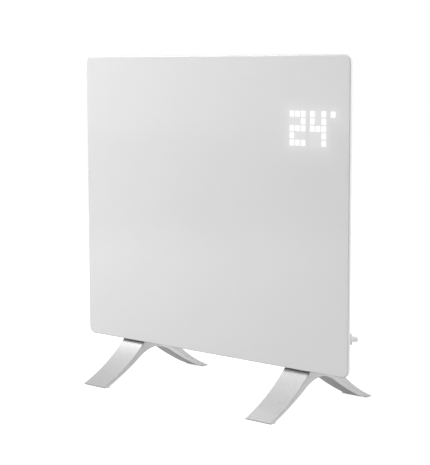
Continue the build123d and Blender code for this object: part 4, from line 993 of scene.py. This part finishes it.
def thread(start, radius, length, pitch, depth):
    """Thread ridge in a bore along +Y. At turn t of the helix the ridge runs through
    (r sin t, pitch t / tau, r cos t), and r goes from the bore to the bore less the depth and back
    over three quarters of a pitch, so the grid is (turn, across the ridge). The ridge is closed
    behind, stays half a pitch clear of the bore's ends, and its width and height shrink to a
    point there."""
    turns = length / pitch - 1.0
    t = np.linspace(0.0, math.tau * turns, int(turns * TURN_POINTS) + 1)[:, None]
    u, share = np.array(RIDGE).T[:, None, :]
    fade = np.clip(np.minimum(t, t[-1] - t) / RIDGE_FADE, 0.0, 1.0)
    r = radius + RIDGE_SINK - depth * share * fade
    x = start[0] + r * np.sin(t)
    y = start[1] + pitch * (t / math.tau + 0.5 + u * fade)
    z = start[2] + r * np.cos(t)
    return np.stack([x, y, z], axis=-1)


def grid_faces(rows, columns, closed):
    """Four-cornered faces of a grid of points, row by row, and round each row if it is closed."""
    start = np.arange(rows - 1)[:, None] * columns
    here = np.arange(columns if closed else columns - 1)[None, :]
    there = (here + 1) % columns
    corners = [start + here, start + there, start + columns + there, start + columns + here]
    return np.stack(corners, axis=-1).reshape(-1, 4)


def add_piece(name, grids, node):
    """Makes one mesh from grids of points whose rows are closed, in the finish of a CAD node, and
    rides it on the heater's body."""
    faces, first = [], 0
    for grid in grids:
        rows, columns = grid.shape[:2]
        faces.append(first + grid_faces(rows, columns, True))
        first += rows * columns
    points = np.concatenate([grid.reshape(-1, 3) for grid in grids])
    mesh = bpy.data.meshes.new(name)
    mesh.from_pydata(points, [], np.concatenate(faces))
    mesh.polygons.foreach_set("use_smooth", np.full(len(mesh.polygons), True))
    mesh.update()
    piece = bpy.data.objects.new(name, mesh)
    bpy.context.scene.collection.objects.link(piece)
    mesh.materials.append(NODES[node].material_slots[0].material)
    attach(piece, BODY)


def mount_points(name):
    """Places (x, z) of a bolt pattern's holes in the record."""
    mount = next((m for m in frame["record"]["mounts"] if m["name"] == name), None)
    if mount is None:
        return []
    x, _, z = mount["pos_m"]
    # Half of each spacing, in metres
    half_x, half_z = (mount["dims"][f"spacing_{way}_mm"] / 2000 for way in "xy")
    return [(x + i * half_x, z + k * half_z) for i in (-1, 1) for k in (-1, 1)]


# ------------------------------------------------------------------ studio


class HEATER_OT_stage(bpy.types.Operator):
    """Makes the floor, the lamps, the room light and the camera"""

    bl_idname = "heater.stage"
    bl_label = "Studio"

    def execute(self, context):
        own = context.scene.heater_stage
        add_floor(own)
        light_room(own)
        # Name, place, side and power of each lamp
        for name, spot, size, power in (
            ("key_lamp", (-1.45, -1.15, 1.20), 1.0, own.key_light),
            ("top_lamp", (0.4, -0.45, 2.4), 2.8, own.top_light),
            ("side_lamp", (1.8, 0.95, 0.55), 1.8, own.side_light),
            ("back_lamp", (0.6, 2.2, 1.3), 2.6, own.back_light),
        ):
            add_lamp(name, spot, size, power)
        add_camera(own)
        context.scene.view_settings.view_transform = "Standard"
        return {"FINISHED"}


def ray_masks(tree):
    """Masks of what reflections see and of what the camera sees."""
    path = tree.nodes.new("ShaderNodeLightPath").outputs
    mirrored = reckon(tree, "MAXIMUM", path["Is Glossy Ray"], path["Is Transmission Ray"])
    return mirrored, path["Is Camera Ray"]


def show_instead(tree, shown, seen, other):
    """Shows another shader in place of one, where a mask says that it is seen."""
    return place(tree, "ShaderNodeMixShader", {0: seen, 1: shown, 2: other}).outputs[0]


def floor_finish(own):
    """Matt floor. The camera sees it lifted to white, and reflections see it pale; both keep the
    object's shadow on it."""
    finish = bpy.data.materials.new("floor")
    tree = start_tree(finish)
    where = tree.nodes.new("ShaderNodeTexCoord").outputs["Object"]
    tone = spread(tree, noise(tree, where, 3.0), 0.3, 0.7, 0.995, 1.005)
    colour = scale(tree, tuple(own.floor), tone)
    shown = place(tree, "ShaderNodeBsdfDiffuse", {"Color": colour}).outputs[0]
    for seen, light in zip(ray_masks(tree), (FLOOR_REFLECTED, FLOOR_SEEN)):
        shaded = place(tree, "ShaderNodeBsdfDiffuse", {"Color": (FLOOR_SHADE,) * 3})
        glow = place(tree, "ShaderNodeEmission", {"Color": WHITE, "Strength": light})
        lifted = place(tree, "ShaderNodeAddShader", {0: shaded.outputs[0], 1: glow.outputs[0]})
        shown = show_instead(tree, shown, seen, lifted.outputs[0])
    place(tree, "ShaderNodeOutputMaterial", {0: shown})
    return finish


def add_floor(own):
    """Level square floor under the feet, a grid of points at height 0 that faces up."""
    side = np.linspace(-FLOOR_HALF, FLOOR_HALF, FLOOR_POINTS)
    x, y = np.meshgrid(side, side, indexing="ij")
    points = np.stack([x, y, 0 * x], axis=-1).reshape(-1, 3)
    mesh = bpy.data.meshes.new("floor")
    mesh.from_pydata(points, [], grid_faces(FLOOR_POINTS, FLOOR_POINTS, False)[:, ::-1])
    mesh.materials.append(floor_finish(own))
    floor = bpy.data.objects.new("floor", mesh)
    bpy.context.scene.collection.objects.link(floor)


def light_room(own):
    """Even room light. The camera sees white behind the object, and reflections see a room that is
    white in front of the object and a little darker behind it."""
    world = bpy.data.worlds.new("room")
    bpy.context.scene.world = world
    tree = start_tree(world)
    towards = tree.nodes.new("ShaderNodeTexCoord").outputs["Generated"]
    _, behind, _ = axes(tree, towards)
    mirrored = spread(tree, behind, -0.3, 0.45, 1.0, own.room_behind)
    shown, in_mirror, in_view = (
        place(tree, "ShaderNodeBackground", {"Color": WHITE, "Strength": strength}).outputs[0]
        for strength in (own.room_light, mirrored, 1.0)
    )
    for seen, other in zip(ray_masks(tree), (in_mirror, in_view)):
        shown = show_instead(tree, shown, seen, other)
    place(tree, "ShaderNodeOutputWorld", {0: shown})


def add_lamp(name, spot, size, power):
    """Large square lamp at a spot, facing the middle of the object."""
    lamp = bpy.data.lights.new(name, "AREA")
    lamp.shape = "SQUARE"
    lamp.size = size
    lamp.energy = power
    holder = bpy.data.objects.new(name, lamp)
    bpy.context.scene.collection.objects.link(holder)
    holder.location = spot
    holder.rotation_euler = (LAMP_AIM - Vector(spot)).to_track_quat("-Z", "Y").to_euler()


def add_camera(own):
    """Camera whose right, up and back axes come from its yaw, pitch and roll."""
    lens = bpy.data.cameras.new("camera")
    lens.sensor_width = FILM_WIDTH
    lens.lens = own.lens
    lens.clip_start, lens.clip_end = VIEW_START, VIEW_END
    camera = bpy.data.objects.new("camera", lens)
    bpy.context.scene.collection.objects.link(camera)
    level = math.cos(own.pitch)
    ahead = Vector(
        (-math.sin(own.yaw) * level, math.cos(own.yaw) * level, -math.sin(own.pitch))
    )
    right = Vector((math.cos(own.yaw), math.sin(own.yaw), 0.0))
    up = right.cross(ahead)
    turned = right * math.cos(own.roll) + up * math.sin(own.roll)
    upright = up * math.cos(own.roll) - right * math.sin(own.roll)
    camera.matrix_world = Matrix((turned, upright, -ahead)).transposed().to_4x4()
    camera.location = own.eye
    bpy.context.scene.camera = camera


# ------------------------------------------------------------------ add-on


OPERATORS = [
    HEATER_OT_glass,
    HEATER_OT_casing,
    HEATER_OT_feet,
    HEATER_OT_fasteners,
    HEATER_OT_readout,
    HEATER_OT_boards,
    HEATER_OT_element,
    HEATER_OT_leads,
    HEATER_OT_plastics,
    HEATER_OT_threads,
    HEATER_OT_stage,
]
GROUPS = {
    "heater_finish": HeaterFinish,
    "heater_details": HeaterDetails,
    "heater_stage": HeaterStage,
}


class HEATER_PT_sidebar(bpy.types.Panel):
    """Lists the heater's steps with their sizes and colours"""

    bl_idname = "HEATER_PT_sidebar"
    bl_label = "Panel convector heater"
    bl_space_type = "VIEW_3D"
    bl_region_type = "UI"
    bl_category = "Heater"

    def draw(self, context):
        for group in GROUPS:
            settings = getattr(context.scene, group)
            box = self.layout.box()
            for key in settings.__annotations__:
                box.prop(settings, key)
        for kind in OPERATORS:
            self.layout.operator(kind.bl_idname)


def register():
    """Adds the settings, the steps and the sidebar to Blender."""
    for key, kind in GROUPS.items():
        bpy.utils.register_class(kind)
        setattr(bpy.types.Scene, key, PointerProperty(type=kind))
    for kind in [*OPERATORS, HEATER_PT_sidebar]:
        bpy.utils.register_class(kind)


def unregister():
    """Takes them out again, in the opposite order."""
    for kind in [HEATER_PT_sidebar, *reversed(OPERATORS)]:
        bpy.utils.unregister_class(kind)
    for key, kind in reversed(GROUPS.items()):
        delattr(bpy.types.Scene, key)
        bpy.utils.unregister_class(kind)


def main():
    """Runs every step in order."""
    register()
    for kind in OPERATORS:
        group, name = kind.bl_idname.split(".")
        getattr(getattr(bpy.ops, group), name)()


if __name__ == "__main__":
    main()
